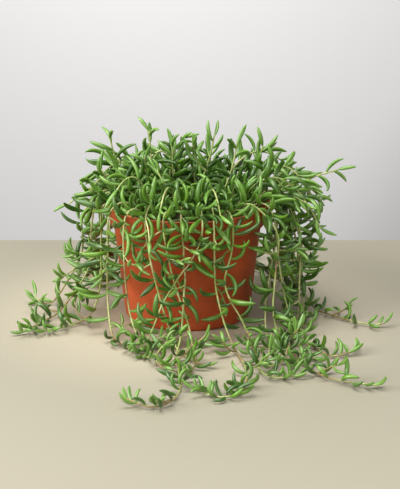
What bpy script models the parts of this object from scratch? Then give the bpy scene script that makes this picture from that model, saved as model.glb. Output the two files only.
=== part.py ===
"""A potted string of bananas: a moulded nursery pot, its soil, and the leafy stems that stand in the soil.

Some stems stand up or arch in a mound. The others pass over the rim, hang down the pot and lie on the
surface it stands on. Metres, +Z up. The origin is the middle of the pot's base.
"""

import math
import random

import bmesh
import bpy
import numpy as np
from mathutils import Matrix, Vector

# The pot: a tapered body, a step out to a deep rim band, and a rounded foot with drain slots
POT_HEIGHT = 0.110
POT_WALL = 0.0018
POT_FLOOR = 0.0024
FOOT_RADIUS = 0.0555
FOOT_ROUNDING = 0.0030
FOOT_ANGLES = (0.0, math.radians(35), math.radians(70))
FOOT_TOP = 0.0042
BODY_TOP_RADIUS = 0.0688
BAND_BOTTOM = 0.0895
BAND_BOTTOM_RADIUS = 0.0720
BAND_STEP = 0.0012
RIM_RADIUS = 0.0770
LIP_ROUNDING = 0.0009
POT_SIDES = 36
POT_SHARP_EDGE = math.radians(32)
DRAIN_SLOTS = 7
DRAIN_WIDTH = 0.0075
DRAIN_HEIGHT = 0.0026
DRAIN_DEPTH = 0.0110
DRAIN_TURN = math.radians(-104.5)

# The soil fills the pot to a little under the rim
SOIL_TOP = 0.0965
SOIL_GAP = 0.0004
SOIL_SIDES = 24
HOLE_RADIUS = 0.0020
HOLE_SIDES = 5
PLANTED_DEPTH = 0.0120
PLANTED_POINTS = 3

# The stems
STEM_RADIUS = 0.00100
STEM_TIP_RADIUS = 0.00075
STEM_SIDES = 3
STEM_STEP = 0.0050
STEM_FLATNESS = 0.00100
STEM_SPACE = 0.0056
STEM_CLEARANCE = 0.0024
STEM_SHARP_EDGE = math.radians(60)

# How a route is drawn: straight pieces between two places, the fewest steps, points on a shoot's curve
ROUTE_PIECES = 16
ROUTE_LEAST_STEPS = 4
SHOOT_POINTS = 9

# How crossing stems are pushed apart: the rounds, the share of the gap closed in each, how much of the push
# is square to both stems, the longest push, how it spreads to the points beside, the height that counts as
# outward, and how many points above the soil bend little
SPREAD_ROUNDS = 90
SPREAD_SHARE = 0.25
SPREAD_ACROSS = 1.2
SPREAD_LONGEST = 0.002
SPREAD_SOFTENING = 2.2
SPREAD_OUTWARD = (0.0, 0.0, 0.03)
SPREAD_STIFF_POINTS = 4

# The leaves: plump crescents with pointed ends, shorter and more curled where the stem lies on the surface.
# A leaf's greatest radius is the first stoutness plus the second times its length
LEAF_LENGTH = (0.0225, 0.0310)
LEAF_LENGTH_ON_FLOOR = 0.80
LEAF_STOUTNESS = (0.0009, 0.060)
LEAF_FULLNESS = 2.0
LEAF_ROUNDING = 0.66
LEAF_NECK = 0.00055
LEAF_SUNK = 0.00045
LEAF_RINGS = (0.29, 0.71)
LEAF_KEEL = 1.14
LEAF_HOLLOW_SIDE = 0.55
LEAF_BEND = (math.radians(44), math.radians(120))
LEAF_BEND_ON_FLOOR = (math.radians(62), math.radians(138))

# How a leaf stands on its stem: its angle to the stem, how much that varies, the turn from leaf to leaf, how
# far it turns up and along the stem, and how far it leans at random. High is in the mound, low below it
LEAF_OPENING_LOW = math.radians(76)
LEAF_OPENING_HIGH = math.radians(60)
LEAF_OPENING_SPREAD = (0.80, 1.22)
LEAF_TURN = math.radians(137.5)
LEAF_RISE_LOW = (-0.10, 1.25)
LEAF_RISE_HIGH = (-0.75, 0.95)
LEAF_ALONG = 0.15
LEAF_LEAN = 0.9
LEAF_LEAST_LIFT = 0.3
STEEP_STEM = 0.8

# Young leaves near a tip: over this stretch their length, angle, bend and spacing grow to the full ones
YOUNG_STRETCH = 0.030
YOUNG_LENGTH = 0.68
YOUNG_OPENING = math.radians(30)
YOUNG_BEND = 0.40
YOUNG_SPACING = 0.34

# Where leaves stand: closer together in the mound, above a height, than on the hanging stems
LEAF_SPACING_LOW = 0.0300
LEAF_SPACING_HIGH = 0.0137
LEAF_HIGH = 0.104
LEAF_FLOOR = 0.016
LEAF_TIP_GAP = 0.0015
LEAF_CLEARANCE = 0.0013
LEAF_SAMPLES = 9
LEAF_SAMPLES_AT_ROOT = 3
FIRST_LEAF = 0.011
SEED = 7

# Where a leaf that would touch something is tried next: turned about the stem by so much, at this share
# of its length
LEAF_TRIES = ((0, 1.0), (40, 1.0), (-40, 1.0), (80, 1.0), (-80, 1.0), (125, 0.9), (-125, 0.9), (180, 0.85),
              (0, 0.7), (60, 0.7), (-60, 0.7))

# Trailing stems: where each stands in the soil, then the places it passes, the tip last
TRAILING = (
    # round the left of the pot
    ((-0.052, 0.006), (-0.066, 0.003, 0.121), (-0.084, 0.000, 0.114), (-0.098, 0.001, 0.092),
     (-0.099, 0.004, 0.059), (-0.114, 0.012, 0.026), (-0.131, 0.016, 0.003), (-0.148, 0.022, 0.006)),
    ((-0.055, -0.014), (-0.068, -0.012, 0.119), (-0.083, -0.011, 0.112), (-0.089, -0.012, 0.085),
     (-0.091, -0.012, 0.050), (-0.108, -0.011, 0.020), (-0.124, -0.020, 0.003), (-0.138, -0.046, 0.003),
     (-0.150, -0.074, 0.005)),
    ((-0.048, -0.030), (-0.062, -0.032, 0.119), (-0.077, -0.034, 0.111), (-0.079, -0.034, 0.080),
     (-0.080, -0.032, 0.040), (-0.088, -0.036, 0.012), (-0.103, -0.044, 0.003), (-0.119, -0.057, 0.003),
     (-0.131, -0.066, 0.004)),
    # across the front
    ((-0.040, -0.040), (-0.055, -0.047, 0.120), (-0.070, -0.052, 0.110), (-0.072, -0.055, 0.074),
     (-0.072, -0.063, 0.031), (-0.066, -0.084, 0.003), (-0.046, -0.118, 0.003), (-0.030, -0.134, 0.003)),
    ((-0.033, -0.053), (-0.046, -0.063, 0.118), (-0.056, -0.069, 0.108), (-0.056, -0.070, 0.060),
     (-0.050, -0.084, 0.021), (-0.037, -0.112, 0.003), (-0.023, -0.153, 0.003), (-0.008, -0.167, 0.003)),
    ((-0.025, -0.046), (-0.032, -0.063, 0.122), (-0.037, -0.079, 0.110), (-0.033, -0.083, 0.079),
     (-0.026, -0.087, 0.049), (-0.015, -0.096, 0.014), (-0.006, -0.120, 0.003), (0.014, -0.152, 0.003)),
    ((-0.014, -0.058), (-0.018, -0.072, 0.118), (-0.021, -0.084, 0.108), (-0.016, -0.085, 0.076),
     (-0.009, -0.089, 0.050), (0.000, -0.097, 0.025), (0.006, -0.114, 0.004), (0.008, -0.150, 0.003),
     (0.002, -0.176, 0.003)),
    ((-0.002, -0.044), (-0.004, -0.066, 0.123), (-0.005, -0.086, 0.111), (-0.002, -0.089, 0.076),
     (-0.003, -0.096, 0.040), (-0.006, -0.112, 0.010), (-0.010, -0.150, 0.003), (-0.004, -0.200, 0.003),
     (-0.012, -0.238, 0.003), (-0.030, -0.250, 0.003), (-0.050, -0.236, 0.005)),
    ((0.008, -0.056), (0.012, -0.070, 0.119), (0.014, -0.084, 0.110), (0.012, -0.085, 0.094),
     (0.005, -0.087, 0.080), (-0.007, -0.090, 0.062), (-0.021, -0.096, 0.041), (-0.030, -0.104, 0.020),
     (-0.040, -0.122, 0.003)),
    ((0.018, -0.044), (0.022, -0.065, 0.122), (0.024, -0.082, 0.110), (0.025, -0.085, 0.062),
     (0.028, -0.090, 0.041), (0.035, -0.100, 0.018), (0.044, -0.120, 0.003), (0.051, -0.160, 0.003),
     (0.050, -0.200, 0.003), (0.042, -0.222, 0.003), (0.026, -0.228, 0.003), (0.008, -0.210, 0.004)),
    ((0.029, -0.055), (0.036, -0.068, 0.118), (0.041, -0.079, 0.108), (0.040, -0.079, 0.083),
     (0.034, -0.084, 0.059), (0.038, -0.087, 0.042), (0.049, -0.091, 0.023), (0.058, -0.102, 0.004),
     (0.062, -0.136, 0.003), (0.064, -0.168, 0.003), (0.078, -0.184, 0.003), (0.098, -0.176, 0.003)),
    ((0.036, -0.044), (0.053, -0.056, 0.121), (0.070, -0.062, 0.112), (0.082, -0.064, 0.092),
     (0.080, -0.066, 0.060), (0.078, -0.080, 0.024), (0.088, -0.112, 0.003), (0.112, -0.172, 0.003),
     (0.134, -0.192, 0.003), (0.162, -0.205, 0.004)),
    # round the right
    ((0.048, -0.036), (0.064, -0.045, 0.119), (0.078, -0.050, 0.108), (0.084, -0.053, 0.062),
     (0.091, -0.060, 0.026), (0.104, -0.086, 0.003), (0.128, -0.130, 0.003), (0.152, -0.116, 0.005)),
    ((0.052, -0.024), (0.067, -0.027, 0.121), (0.081, -0.030, 0.110), (0.081, -0.033, 0.080),
     (0.075, -0.050, 0.050), (0.071, -0.066, 0.022), (0.074, -0.090, 0.003), (0.092, -0.128, 0.003),
     (0.114, -0.138, 0.003)),
    ((0.058, -0.009), (0.074, -0.010, 0.121), (0.091, -0.012, 0.111), (0.104, -0.014, 0.076),
     (0.104, -0.022, 0.038), (0.103, -0.034, 0.014), (0.098, -0.066, 0.003), (0.088, -0.134, 0.003),
     (0.070, -0.160, 0.003)),
    ((0.060, 0.002), (0.082, 0.000, 0.119), (0.097, -0.002, 0.104), (0.106, -0.005, 0.072),
     (0.107, -0.010, 0.040), (0.108, -0.022, 0.012), (0.108, -0.046, 0.003), (0.100, -0.076, 0.003)),
    ((0.057, 0.013), (0.075, 0.013, 0.121), (0.091, 0.013, 0.110), (0.102, 0.012, 0.067),
     (0.108, 0.006, 0.025), (0.122, -0.004, 0.003), (0.150, -0.034, 0.003), (0.170, -0.047, 0.003),
     (0.182, -0.048, 0.005)),
    ((0.054, 0.026), (0.072, 0.030, 0.121), (0.088, 0.034, 0.110), (0.098, 0.036, 0.072),
     (0.103, 0.040, 0.034), (0.108, 0.050, 0.004), (0.106, 0.084, 0.003), (0.102, 0.112, 0.004)),
    # across the back
    ((0.047, 0.038), (0.062, 0.048, 0.120), (0.074, 0.056, 0.110), (0.080, 0.062, 0.068),
     (0.085, 0.070, 0.030), (0.090, 0.086, 0.003), (0.096, 0.120, 0.003), (0.104, 0.150, 0.004)),
    ((0.034, 0.048), (0.044, 0.064, 0.121), (0.052, 0.076, 0.110), (0.057, 0.083, 0.068),
     (0.062, 0.094, 0.028), (0.074, 0.118, 0.003), (0.098, 0.142, 0.003), (0.100, 0.168, 0.004)),
    ((0.018, 0.054), (0.023, 0.070, 0.120), (0.028, 0.084, 0.110), (0.032, 0.090, 0.070),
     (0.036, 0.098, 0.030), (0.042, 0.122, 0.003), (0.058, 0.160, 0.003), (0.048, 0.186, 0.004)),
    ((0.002, 0.058), (0.004, 0.073, 0.119), (0.006, 0.086, 0.109), (0.006, 0.090, 0.080),
     (0.000, 0.093, 0.052), (-0.008, 0.097, 0.024)),
    ((-0.013, 0.055), (-0.017, 0.071, 0.121), (-0.021, 0.085, 0.110), (-0.022, 0.092, 0.066),
     (-0.018, 0.102, 0.027), (-0.010, 0.128, 0.003), (-0.002, 0.170, 0.003), (-0.020, 0.192, 0.004)),
    ((-0.029, 0.049), (-0.038, 0.065, 0.120), (-0.045, 0.078, 0.110), (-0.049, 0.086, 0.068),
     (-0.052, 0.096, 0.030), (-0.060, 0.122, 0.003), (-0.056, 0.156, 0.003), (-0.068, 0.182, 0.004)),
    ((-0.043, 0.038), (-0.057, 0.050, 0.121), (-0.069, 0.060, 0.110), (-0.075, 0.066, 0.070),
     (-0.080, 0.075, 0.032), (-0.086, 0.094, 0.003), (-0.086, 0.130, 0.003), (-0.098, 0.152, 0.004)),
    ((-0.053, 0.022), (-0.069, 0.030, 0.120), (-0.080, 0.040, 0.109), (-0.083, 0.044, 0.070),
     (-0.084, 0.050, 0.034), (-0.088, 0.064, 0.003), (-0.092, 0.092, 0.003), (-0.106, 0.116, 0.004)),
)

# How a stem of the mound goes from the soil to its tip: its turning point's share of the way out and of
# the way up, and what that point is lifted
SPREADING = (0.50, 0.75, 0.0)
UPTURNED = (0.75, 0.42, 0.0)
ARCHING = (0.42, 0.80, 0.045)
DROOPING = (0.50, 0.50, 0.085)

# Stems of the mound: where each stands in the soil, its tip, and how it gets there
UPRIGHT = (
    ((-0.028, 0.008), (-0.035, -0.004, 0.177), UPTURNED),
    ((-0.042, 0.018), (-0.072, 0.010, 0.167), UPTURNED),
    ((-0.044, -0.002), (-0.080, -0.002, 0.140), UPTURNED),
    ((-0.044, -0.016), (-0.090, -0.018, 0.122), ARCHING),
    ((0.000, 0.004), (0.025, 0.006, 0.170), UPTURNED),
    ((0.026, 0.004), (0.046, 0.000, 0.164), UPTURNED),
    ((0.043, 0.014), (0.070, 0.008, 0.160), UPTURNED),
    ((0.047, 0.001), (0.084, -0.006, 0.140), UPTURNED),
    ((0.049, -0.010), (0.106, -0.014, 0.132), ARCHING),
    ((0.042, -0.020), (0.141, 0.002, 0.138), SPREADING),
    ((0.040, 0.026), (0.122, 0.026, 0.108), ARCHING),
    ((0.040, -0.030), (0.122, -0.036, 0.092), DROOPING),
    ((-0.038, 0.006), (-0.113, 0.014, 0.100), ARCHING),
    ((-0.014, 0.018), (-0.014, 0.014, 0.158), UPTURNED),
    ((0.012, 0.022), (0.004, 0.026, 0.144), UPTURNED),
    ((-0.028, 0.026), (-0.056, 0.030, 0.146), UPTURNED),
    ((-0.032, -0.016), (-0.054, -0.044, 0.135), UPTURNED),
    ((-0.014, -0.018), (-0.018, -0.052, 0.133), UPTURNED),
    ((0.006, -0.020), (0.014, -0.056, 0.131), UPTURNED),
    ((0.026, -0.016), (0.042, -0.050, 0.134), UPTURNED),
    ((0.030, -0.030), (0.068, -0.048, 0.127), UPTURNED),
    ((-0.026, 0.038), (-0.050, 0.060, 0.133), UPTURNED),
    ((-0.008, 0.042), (-0.016, 0.070, 0.134), UPTURNED),
    ((0.014, 0.040), (0.022, 0.064, 0.137), UPTURNED),
    ((0.030, 0.034), (0.054, 0.052, 0.135), UPTURNED),
    ((-0.030, -0.030), (-0.066, -0.056, 0.128), ARCHING),
    ((-0.010, -0.034), (-0.024, -0.086, 0.120), ARCHING),
    ((0.016, -0.032), (0.030, -0.088, 0.118), ARCHING),
    ((-0.044, 0.030), (-0.088, 0.050, 0.122), ARCHING),
    ((0.026, 0.020), (0.092, 0.040, 0.134), ARCHING),
    ((-0.002, 0.034), (-0.040, 0.012, 0.138), ARCHING),
    ((-0.020, 0.012), (0.004, 0.050, 0.136), ARCHING),
)

# Where leaves bunch up or stand apart: a place, how far it reaches, and what their spacing is multiplied by
BUNCHES = (
    ((-0.131, -0.054, 0.008), 0.030, 0.50),
    ((-0.057, -0.120, 0.008), 0.030, 0.50),
    ((-0.033, -0.112, 0.012), 0.026, 0.65),
    ((0.034, -0.222, 0.006), 0.036, 0.42),
    ((0.006, -0.192, 0.006), 0.026, 0.45),
    ((0.078, -0.108, 0.010), 0.034, 0.60),
    ((0.085, -0.166, 0.006), 0.040, 0.60),
    ((0.010, -0.130, 0.005), 0.034, 2.20),
    ((0.098, -0.012, 0.062), 0.070, 0.62),
    ((-0.104, -0.004, 0.058), 0.054, 0.60),
    ((-0.076, -0.030, 0.092), 0.030, 1.70),
    ((-0.092, 0.000, 0.116), 0.036, 1.80),
    ((0.072, -0.058, 0.078), 0.034, 1.70),
    ((0.150, -0.040, 0.005), 0.040, 1.30),
    ((0.051, -0.160, 0.004), 0.030, 2.40),
    ((0.010, -0.078, 0.112), 0.045, 0.65),
    ((-0.018, 0.024, 0.122), 0.045, 0.70),
)

# Colours as linear values, with roughness
POT_FINISH = ((0.36, 0.055, 0.022), 0.48)
SOIL_FINISH = ((0.028, 0.018, 0.012), 0.95)
FOLIAGE_FINISH = ((0.095, 0.235, 0.055), 0.42)

UP = Vector((0.0, 0.0, 1.0))


def clear_scene():
    """Removes every object that is already in the scene."""
    for thing in list(bpy.data.objects):
        bpy.data.objects.remove(thing, do_unlink=True)


def finish(name, colour, roughness):
    """A Principled material of one colour."""
    material = bpy.data.materials.new(name)
    material.use_nodes = True
    shader = material.node_tree.nodes["Principled BSDF"]
    shader.inputs["Base Color"].default_value = (*colour, 1.0)
    shader.inputs["Roughness"].default_value = roughness
    shader.inputs["Metallic"].default_value = 0.0
    material.diffuse_color = (*colour, 1.0)
    return material


def add_object(name, shape, material=None):
    """An object of this bmesh, linked into the scene."""
    mesh = bpy.data.meshes.new(name)
    shape.to_mesh(mesh)
    shape.free()
    thing = bpy.data.objects.new(name, mesh)
    bpy.context.scene.collection.objects.link(thing)
    if material:
        mesh.materials.append(material)
    return thing


def apply_boolean(thing, helpers, operation, solver="EXACT"):
    """Joins or cuts an object with helper objects in one step, and removes the helpers."""
    group = bpy.data.collections.new(thing.name + "_helpers")
    bpy.context.scene.collection.children.link(group)
    for helper in helpers:
        bpy.context.scene.collection.objects.unlink(helper)
        group.objects.link(helper)
    step = thing.modifiers.new(operation.lower(), "BOOLEAN")
    step.operation = operation
    step.operand_type = "COLLECTION"
    step.collection = group
    step.solver = solver
    bpy.context.view_layer.update()
    result = bpy.data.meshes.new_from_object(thing.evaluated_get(bpy.context.evaluated_depsgraph_get()))
    thing.modifiers.remove(step)
    thing.data = result
    for helper in list(group.objects):
        bpy.data.objects.remove(helper, do_unlink=True)
    bpy.data.collections.remove(group)


def turned(outline, sides):
    """A closed solid turned about Z from (radius, height) points, which start and end on the axis."""
    shape = bmesh.new()
    rings = []
    for radius, height in outline:
        if radius == 0.0:
            rings.append([shape.verts.new((0.0, 0.0, height))])
            continue
        angles = (2 * math.pi * k / sides for k in range(sides))
        rings.append([shape.verts.new((radius * math.cos(a), radius * math.sin(a), height)) for a in angles])
    for low, high in zip(rings, rings[1:]):
        for k in range(sides):
            corners = [low[k % len(low)], low[(k + 1) % sides % len(low)],
                       high[(k + 1) % sides % len(high)], high[k % len(high)]]
            shape.faces.new(list(dict.fromkeys(corners)))
    bmesh.ops.recalc_face_normals(shape, faces=shape.faces)
    return shape


def outer_radius(height):
    """The pot's outer radius at a height, without its rounded foot and lip."""
    if height >= BAND_BOTTOM:
        share = (height - BAND_BOTTOM) / (POT_HEIGHT - BAND_BOTTOM)
        return BAND_BOTTOM_RADIUS + (RIM_RADIUS - BAND_BOTTOM_RADIUS) * min(share, 1.0)
    taper = (BODY_TOP_RADIUS - FOOT_RADIUS - FOOT_ROUNDING) / BAND_BOTTOM
    return FOOT_RADIUS + FOOT_ROUNDING + taper * max(height, 0.0)


def build_pot():
    """The moulded pot, open at the top, with drain slots through the edge of its foot."""
    corner = [(FOOT_RADIUS + FOOT_ROUNDING * math.sin(a), FOOT_ROUNDING * (1 - math.cos(a)))
              for a in FOOT_ANGLES]
    under_band = BAND_BOTTOM - BAND_STEP
    inner_step = under_band - POT_WALL / 2
    outline = [
        (0.0, 0.0),
        *corner,
        (outer_radius(FOOT_TOP), FOOT_TOP),
        (outer_radius(under_band), under_band),
        (outer_radius(BAND_BOTTOM), BAND_BOTTOM),
        (outer_radius(POT_HEIGHT - LIP_ROUNDING), POT_HEIGHT - LIP_ROUNDING),
        (RIM_RADIUS - LIP_ROUNDING, POT_HEIGHT),
        (RIM_RADIUS - POT_WALL, POT_HEIGHT - LIP_ROUNDING / 2),
        (outer_radius(BAND_BOTTOM) - POT_WALL, BAND_BOTTOM + POT_WALL / 2),
        (outer_radius(inner_step) - POT_WALL, inner_step),
        (outer_radius(POT_FLOOR) - POT_WALL, POT_FLOOR),
        (0.0, POT_FLOOR),
    ]
    pot = add_object("pot", turned(outline, POT_SIDES), finish("pot_plastic", *POT_FINISH))
    cutters = []
    for k in range(DRAIN_SLOTS):
        slot = bmesh.new()
        size = Matrix.Diagonal((DRAIN_DEPTH, DRAIN_WIDTH, 2 * DRAIN_HEIGHT, 1.0))
        bmesh.ops.create_cube(slot, size=1.0, matrix=size)
        turn = Matrix.Rotation(DRAIN_TURN + 2 * math.pi * k / DRAIN_SLOTS, 4, "Z")
        bmesh.ops.transform(slot, matrix=turn @ Matrix.Translation((FOOT_RADIUS, 0.0, 0.0)), verts=slot.verts)
        cutters.append(add_object(f"drain_cutter_{k}", slot))
    apply_boolean(pot, cutters, "DIFFERENCE")
    pot.data.shade_smooth()
    pot.data.set_sharp_from_angle(angle=POT_SHARP_EDGE)


def build_soil(roots):
    """The soil, filled to under the rim, with a plain hole for each stem."""
    step = BAND_BOTTOM - BAND_STEP - POT_WALL / 2
    wall = POT_WALL + SOIL_GAP
    floor = POT_FLOOR + SOIL_GAP
    outline = [
        (0.0, floor),
        (outer_radius(floor) - wall, floor),
        (outer_radius(step) - wall, step),
        (outer_radius(BAND_BOTTOM) - wall, BAND_BOTTOM + POT_WALL / 2 + SOIL_GAP),
        (outer_radius(SOIL_TOP) - wall, SOIL_TOP),
        (0.0, SOIL_TOP),
    ]
    soil = add_object("soil", turned(outline, SOIL_SIDES), finish("potting_soil", *SOIL_FINISH))
    cutters = []
    for k, (x, y) in enumerate(roots):
        hole = bmesh.new()
        bmesh.ops.create_cone(hole, cap_ends=True, segments=HOLE_SIDES, radius1=HOLE_RADIUS,
                              radius2=HOLE_RADIUS, depth=2 * (PLANTED_DEPTH + SOIL_GAP))
        bmesh.ops.translate(hole, vec=(x, y, SOIL_TOP), verts=hole.verts)
        cutters.append(add_object(f"hole_cutter_{k}", hole))
    apply_boolean(soil, cutters, "DIFFERENCE")


def smooth_route(places):
    """Points a STEM_STEP apart on one smooth curve through these places."""
    ends = [places[0] * 2 - places[1], *places, places[-1] * 2 - places[-2]]
    fine = [places[0]]
    for before, start, end, after in zip(ends, ends[1:], ends[2:], ends[3:]):
        for k in range(1, ROUTE_PIECES + 1):
            t = k / ROUTE_PIECES
            fine.append(0.5 * (2 * start + (end - before) * t
                               + (2 * before - 5 * start + 4 * end - after) * t * t
                               + (3 * start - before - 3 * end + after) * t * t * t))
    fine = np.array(fine)
    run = np.concatenate([[0.0], np.cumsum(np.linalg.norm(np.diff(fine, axis=0), axis=1))])
    count = max(ROUTE_LEAST_STEPS, round(run[-1] / STEM_STEP))
    at = np.linspace(0.0, run[-1], count + 1)
    return np.stack([np.interp(at, run, fine[:, axis]) for axis in range(3)], axis=1)


def planted(x, y):
    """The lowest places of a stem: its end in the soil, where it comes out, and a little above."""
    return [np.array((x, y, SOIL_TOP + rise)) for rise in (-PLANTED_DEPTH, 0.0, STEM_STEP)]


def rooted(route):
    """The route, with its planted stretch straight up."""
    route[:PLANTED_POINTS + 1, :2] = route[0, :2]
    return route


def trailing_route(root, *places):
    """A stem that goes over the rim and down, through hand-set places."""
    return rooted(smooth_route(planted(*root) + [np.array(place) for place in places]))


def upright_route(root, tip, habit):
    """A stem of the mound, on a curve with one turning point."""
    base = planted(*root)
    start = base[-1]
    tip = np.array(tip)
    out, rise, lift = habit
    turn = start + (tip - start) * (out, out, rise) + (0.0, 0.0, lift)
    shares = np.linspace(0.0, 1.0, SHOOT_POINTS)[1:, None]
    curve = (1 - shares) ** 2 * start + 2 * shares * (1 - shares) * turn + shares ** 2 * tip
    return rooted(smooth_route([*base, *curve]))


def held_off(points, gap):
    """The points, with any that come nearer than the gap to the pot or the floor moved out to it."""
    points = points.copy()
    radius = np.maximum(np.hypot(points[:, 0], points[:, 1]), 1e-6)
    wall = np.array([outer_radius(z) for z in points[:, 2]])
    outside = (radius > wall - POT_WALL / 2) & (points[:, 2] < POT_HEIGHT)
    near = outside & (radius < wall + gap)
    points[near, :2] *= ((wall + gap) / radius)[near, None]
    over = (points[:, 2] >= POT_HEIGHT) & (np.abs(radius - RIM_RADIUS) < 2 * gap)
    points[over, 2] = np.maximum(points[over, 2], POT_HEIGHT + 2 * gap)
    points[:, 2] = np.maximum(points[:, 2], gap)
    return points


def bent_clear(routes):
    """The routes, bent away from each other where two stems would touch or cross.

    The later stem of a pair passes over the earlier one on the floor, and outside it on the pot.
    """
    home = np.concatenate(routes)
    owner = np.concatenate([np.full(len(route), k) for k, route in enumerate(routes)])
    along = np.concatenate([np.gradient(route, axis=0) for route in routes])
    along /= np.linalg.norm(along, axis=1)[:, None]
    order = np.concatenate([np.arange(len(route)) for route in routes])
    free = np.clip((order - PLANTED_POINTS) / SPREAD_STIFF_POINTS, 0.0, 1.0)[:, None]
    place = home
    for _ in range(SPREAD_ROUNDS):
        square = (place ** 2).sum(axis=1)
        apart = square[:, None] + square[None, :] - 2 * place @ place.T
        first, second = np.nonzero((apart < STEM_SPACE ** 2) & (owner[:, None] < owner[None, :]))
        between = place[second] - place[first]
        distance = np.linalg.norm(between, axis=1)[:, None]
        outward = place[first] * (1.0, 1.0, 0.0) + SPREAD_OUTWARD
        across = np.cross(along[first], along[second])
        across *= np.where((across * outward).sum(axis=1) < 0, -1.0, 1.0)[:, None]
        way = between / np.maximum(distance, 1e-6) + SPREAD_ACROSS * across
        way /= np.maximum(np.linalg.norm(way, axis=1), 1e-6)[:, None]
        step = way * (STEM_SPACE - distance) * SPREAD_SHARE
        push = np.zeros_like(place)
        np.add.at(push, second, step)
        np.add.at(push, first, -step)
        push *= free
        for _ in range(2):
            softer = push.copy()
            same = owner[1:] == owner[:-1]
            softer[1:][same] += push[:-1][same]
            softer[:-1][same] += push[1:][same]
            push = softer / SPREAD_SOFTENING
        length = np.linalg.norm(push, axis=1)[:, None]
        push *= np.minimum(1.0, SPREAD_LONGEST / np.maximum(length, 1e-9))
        moved = held_off(place + push * free, STEM_CLEARANCE)
        place = np.where(free > 0, moved, place)
    starts = np.cumsum([0] + [len(route) for route in routes])
    return [place[a:b] for a, b in zip(starts, starts[1:])]


class Obstacles:
    """What a leaf has to stay clear of: stems, leaves already placed, the pot, the soil and the floor."""

    def __init__(self, routes):
        self.start = np.concatenate([route[:-1] for route in routes])
        self.run = np.concatenate([np.diff(route, axis=0) for route in routes])
        self.owner = np.concatenate([np.full(len(route) - 1, k) for k, route in enumerate(routes)])
        self.square = (self.run ** 2).sum(axis=1)
        self.leaves = np.zeros((0, 4))

    def stem_gap(self, points, radii, stem):
        """The least gap between the points and the stems, their own near its root left out."""
        reach = points[:, None] - self.start[None]
        share = np.clip((reach * self.run[None]).sum(axis=2) / self.square[None], 0.0, 1.0)
        gap = np.linalg.norm(reach - share[..., None] * self.run[None], axis=2) - radii[:, None] - STEM_RADIUS
        near_root = np.arange(len(points)) < LEAF_SAMPLES_AT_ROOT
        gap[near_root[:, None] & (self.owner == stem)[None]] = 1.0
        return gap.min()

    def leaf_gap(self, points, radii):
        """The least gap between the points and the leaves already placed."""
        if not len(self.leaves):
            return 1.0
        apart = np.linalg.norm(points[:, None] - self.leaves[None, :, :3], axis=2)
        return (apart - radii[:, None] - self.leaves[None, :, 3]).min()

    def pot_gap(self, points, radii):
        """The least gap between the points and the pot, the soil or the floor."""
        least = 1.0
        for (x, y, z), radius in zip(points, radii):
            out = math.hypot(x, y)
            wall = outer_radius(z)
            if z < POT_HEIGHT:
                gap = max(out - wall, wall - POT_WALL - out)
            else:
                beside = max(out - RIM_RADIUS, RIM_RADIUS - POT_WALL - out, 0.0)
                gap = math.hypot(beside, z - POT_HEIGHT)
            if out < wall:
                gap = min(gap, z - SOIL_TOP)
            least = min(least, gap - radius, z - radius)
        return least

    def clear(self, points, radii, stem):
        """Whether a leaf of these points and radii touches nothing."""
        beyond = points[1:]
        thick = radii[1:]
        return (self.pot_gap(beyond, thick) > LEAF_CLEARANCE
                and self.stem_gap(beyond, thick, stem) > LEAF_CLEARANCE
                and self.leaf_gap(beyond, thick) > LEAF_CLEARANCE)

    def keep(self, points, radii):
        """Adds a placed leaf."""
        self.leaves = np.concatenate([self.leaves, np.column_stack([points, radii])[1:]])


def leaf_radius(share, length):
    """A leaf's radius at a share of its length: a thin neck, a plump middle and a pointed tip."""
    swell = (1 - abs(2 * share - 1) ** LEAF_FULLNESS) ** LEAF_ROUNDING
    return max(LEAF_NECK * (1 - share), (LEAF_STOUTNESS[0] + LEAF_STOUTNESS[1] * length) * swell)


def leaf_curve(root, heading, lift, length, bend, share):
    """The place at a share of a leaf's length, on an arc that leaves along the heading and turns to lift."""
    angle = bend * share
    return root + (length / bend) * (heading * math.sin(angle) + lift * (1 - math.cos(angle)))


def leaf_frame(along, turn, opening, drift):
    """The heading in which a leaf leaves a stem, and the direction square to it that it turns towards.

    It turns towards the drift, and a little along the stem.
    """
    side = along.cross(UP if abs(along.z) < STEEP_STEM else Vector((1.0, 0.0, 0.0))).normalized()
    out = side * math.cos(turn) + along.cross(side) * math.sin(turn)
    heading = (along * math.cos(opening) + out * math.sin(opening)).normalized()
    lift = drift + along * LEAF_ALONG
    lift -= heading * lift.dot(heading)
    if lift.length < LEAF_LEAST_LIFT:
        lift = -out + heading * out.dot(heading)
    return heading, lift.normalized()


def grown(young, full, age):
    """What a young leaf's value has grown to at an age from 0 to 1."""
    return young + (full - young) * age


def crowding(place):
    """What the spacing of leaves is multiplied by at a place."""
    factor = 1.0
    for middle, reach, share in BUNCHES:
        factor *= share ** min(1.0, 2 * max(0.0, 1 - math.dist(place, middle) / reach))
    return factor


def leaf_places(route):
    """For each leaf of a stem: where along the route's points it grows, and its age from 0, young, to 1.

    Leaves stand closer together in the mound than below the rim, and closest at the tip.
    """
    stretch = float(np.linalg.norm(np.diff(route, axis=0), axis=1).mean())
    places = []
    back = LEAF_TIP_GAP
    while True:
        at = len(route) - 1 - back / stretch
        if at * stretch < FIRST_LEAF + PLANTED_DEPTH:
            return places
        age = min(1.0, back / YOUNG_STRETCH)
        places.append((at, age))
        spacing = LEAF_SPACING_HIGH if route[int(at)][2] > LEAF_HIGH else LEAF_SPACING_LOW
        back += spacing * crowding(route[int(at)]) * grown(YOUNG_SPACING, 1.0, age)


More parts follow.
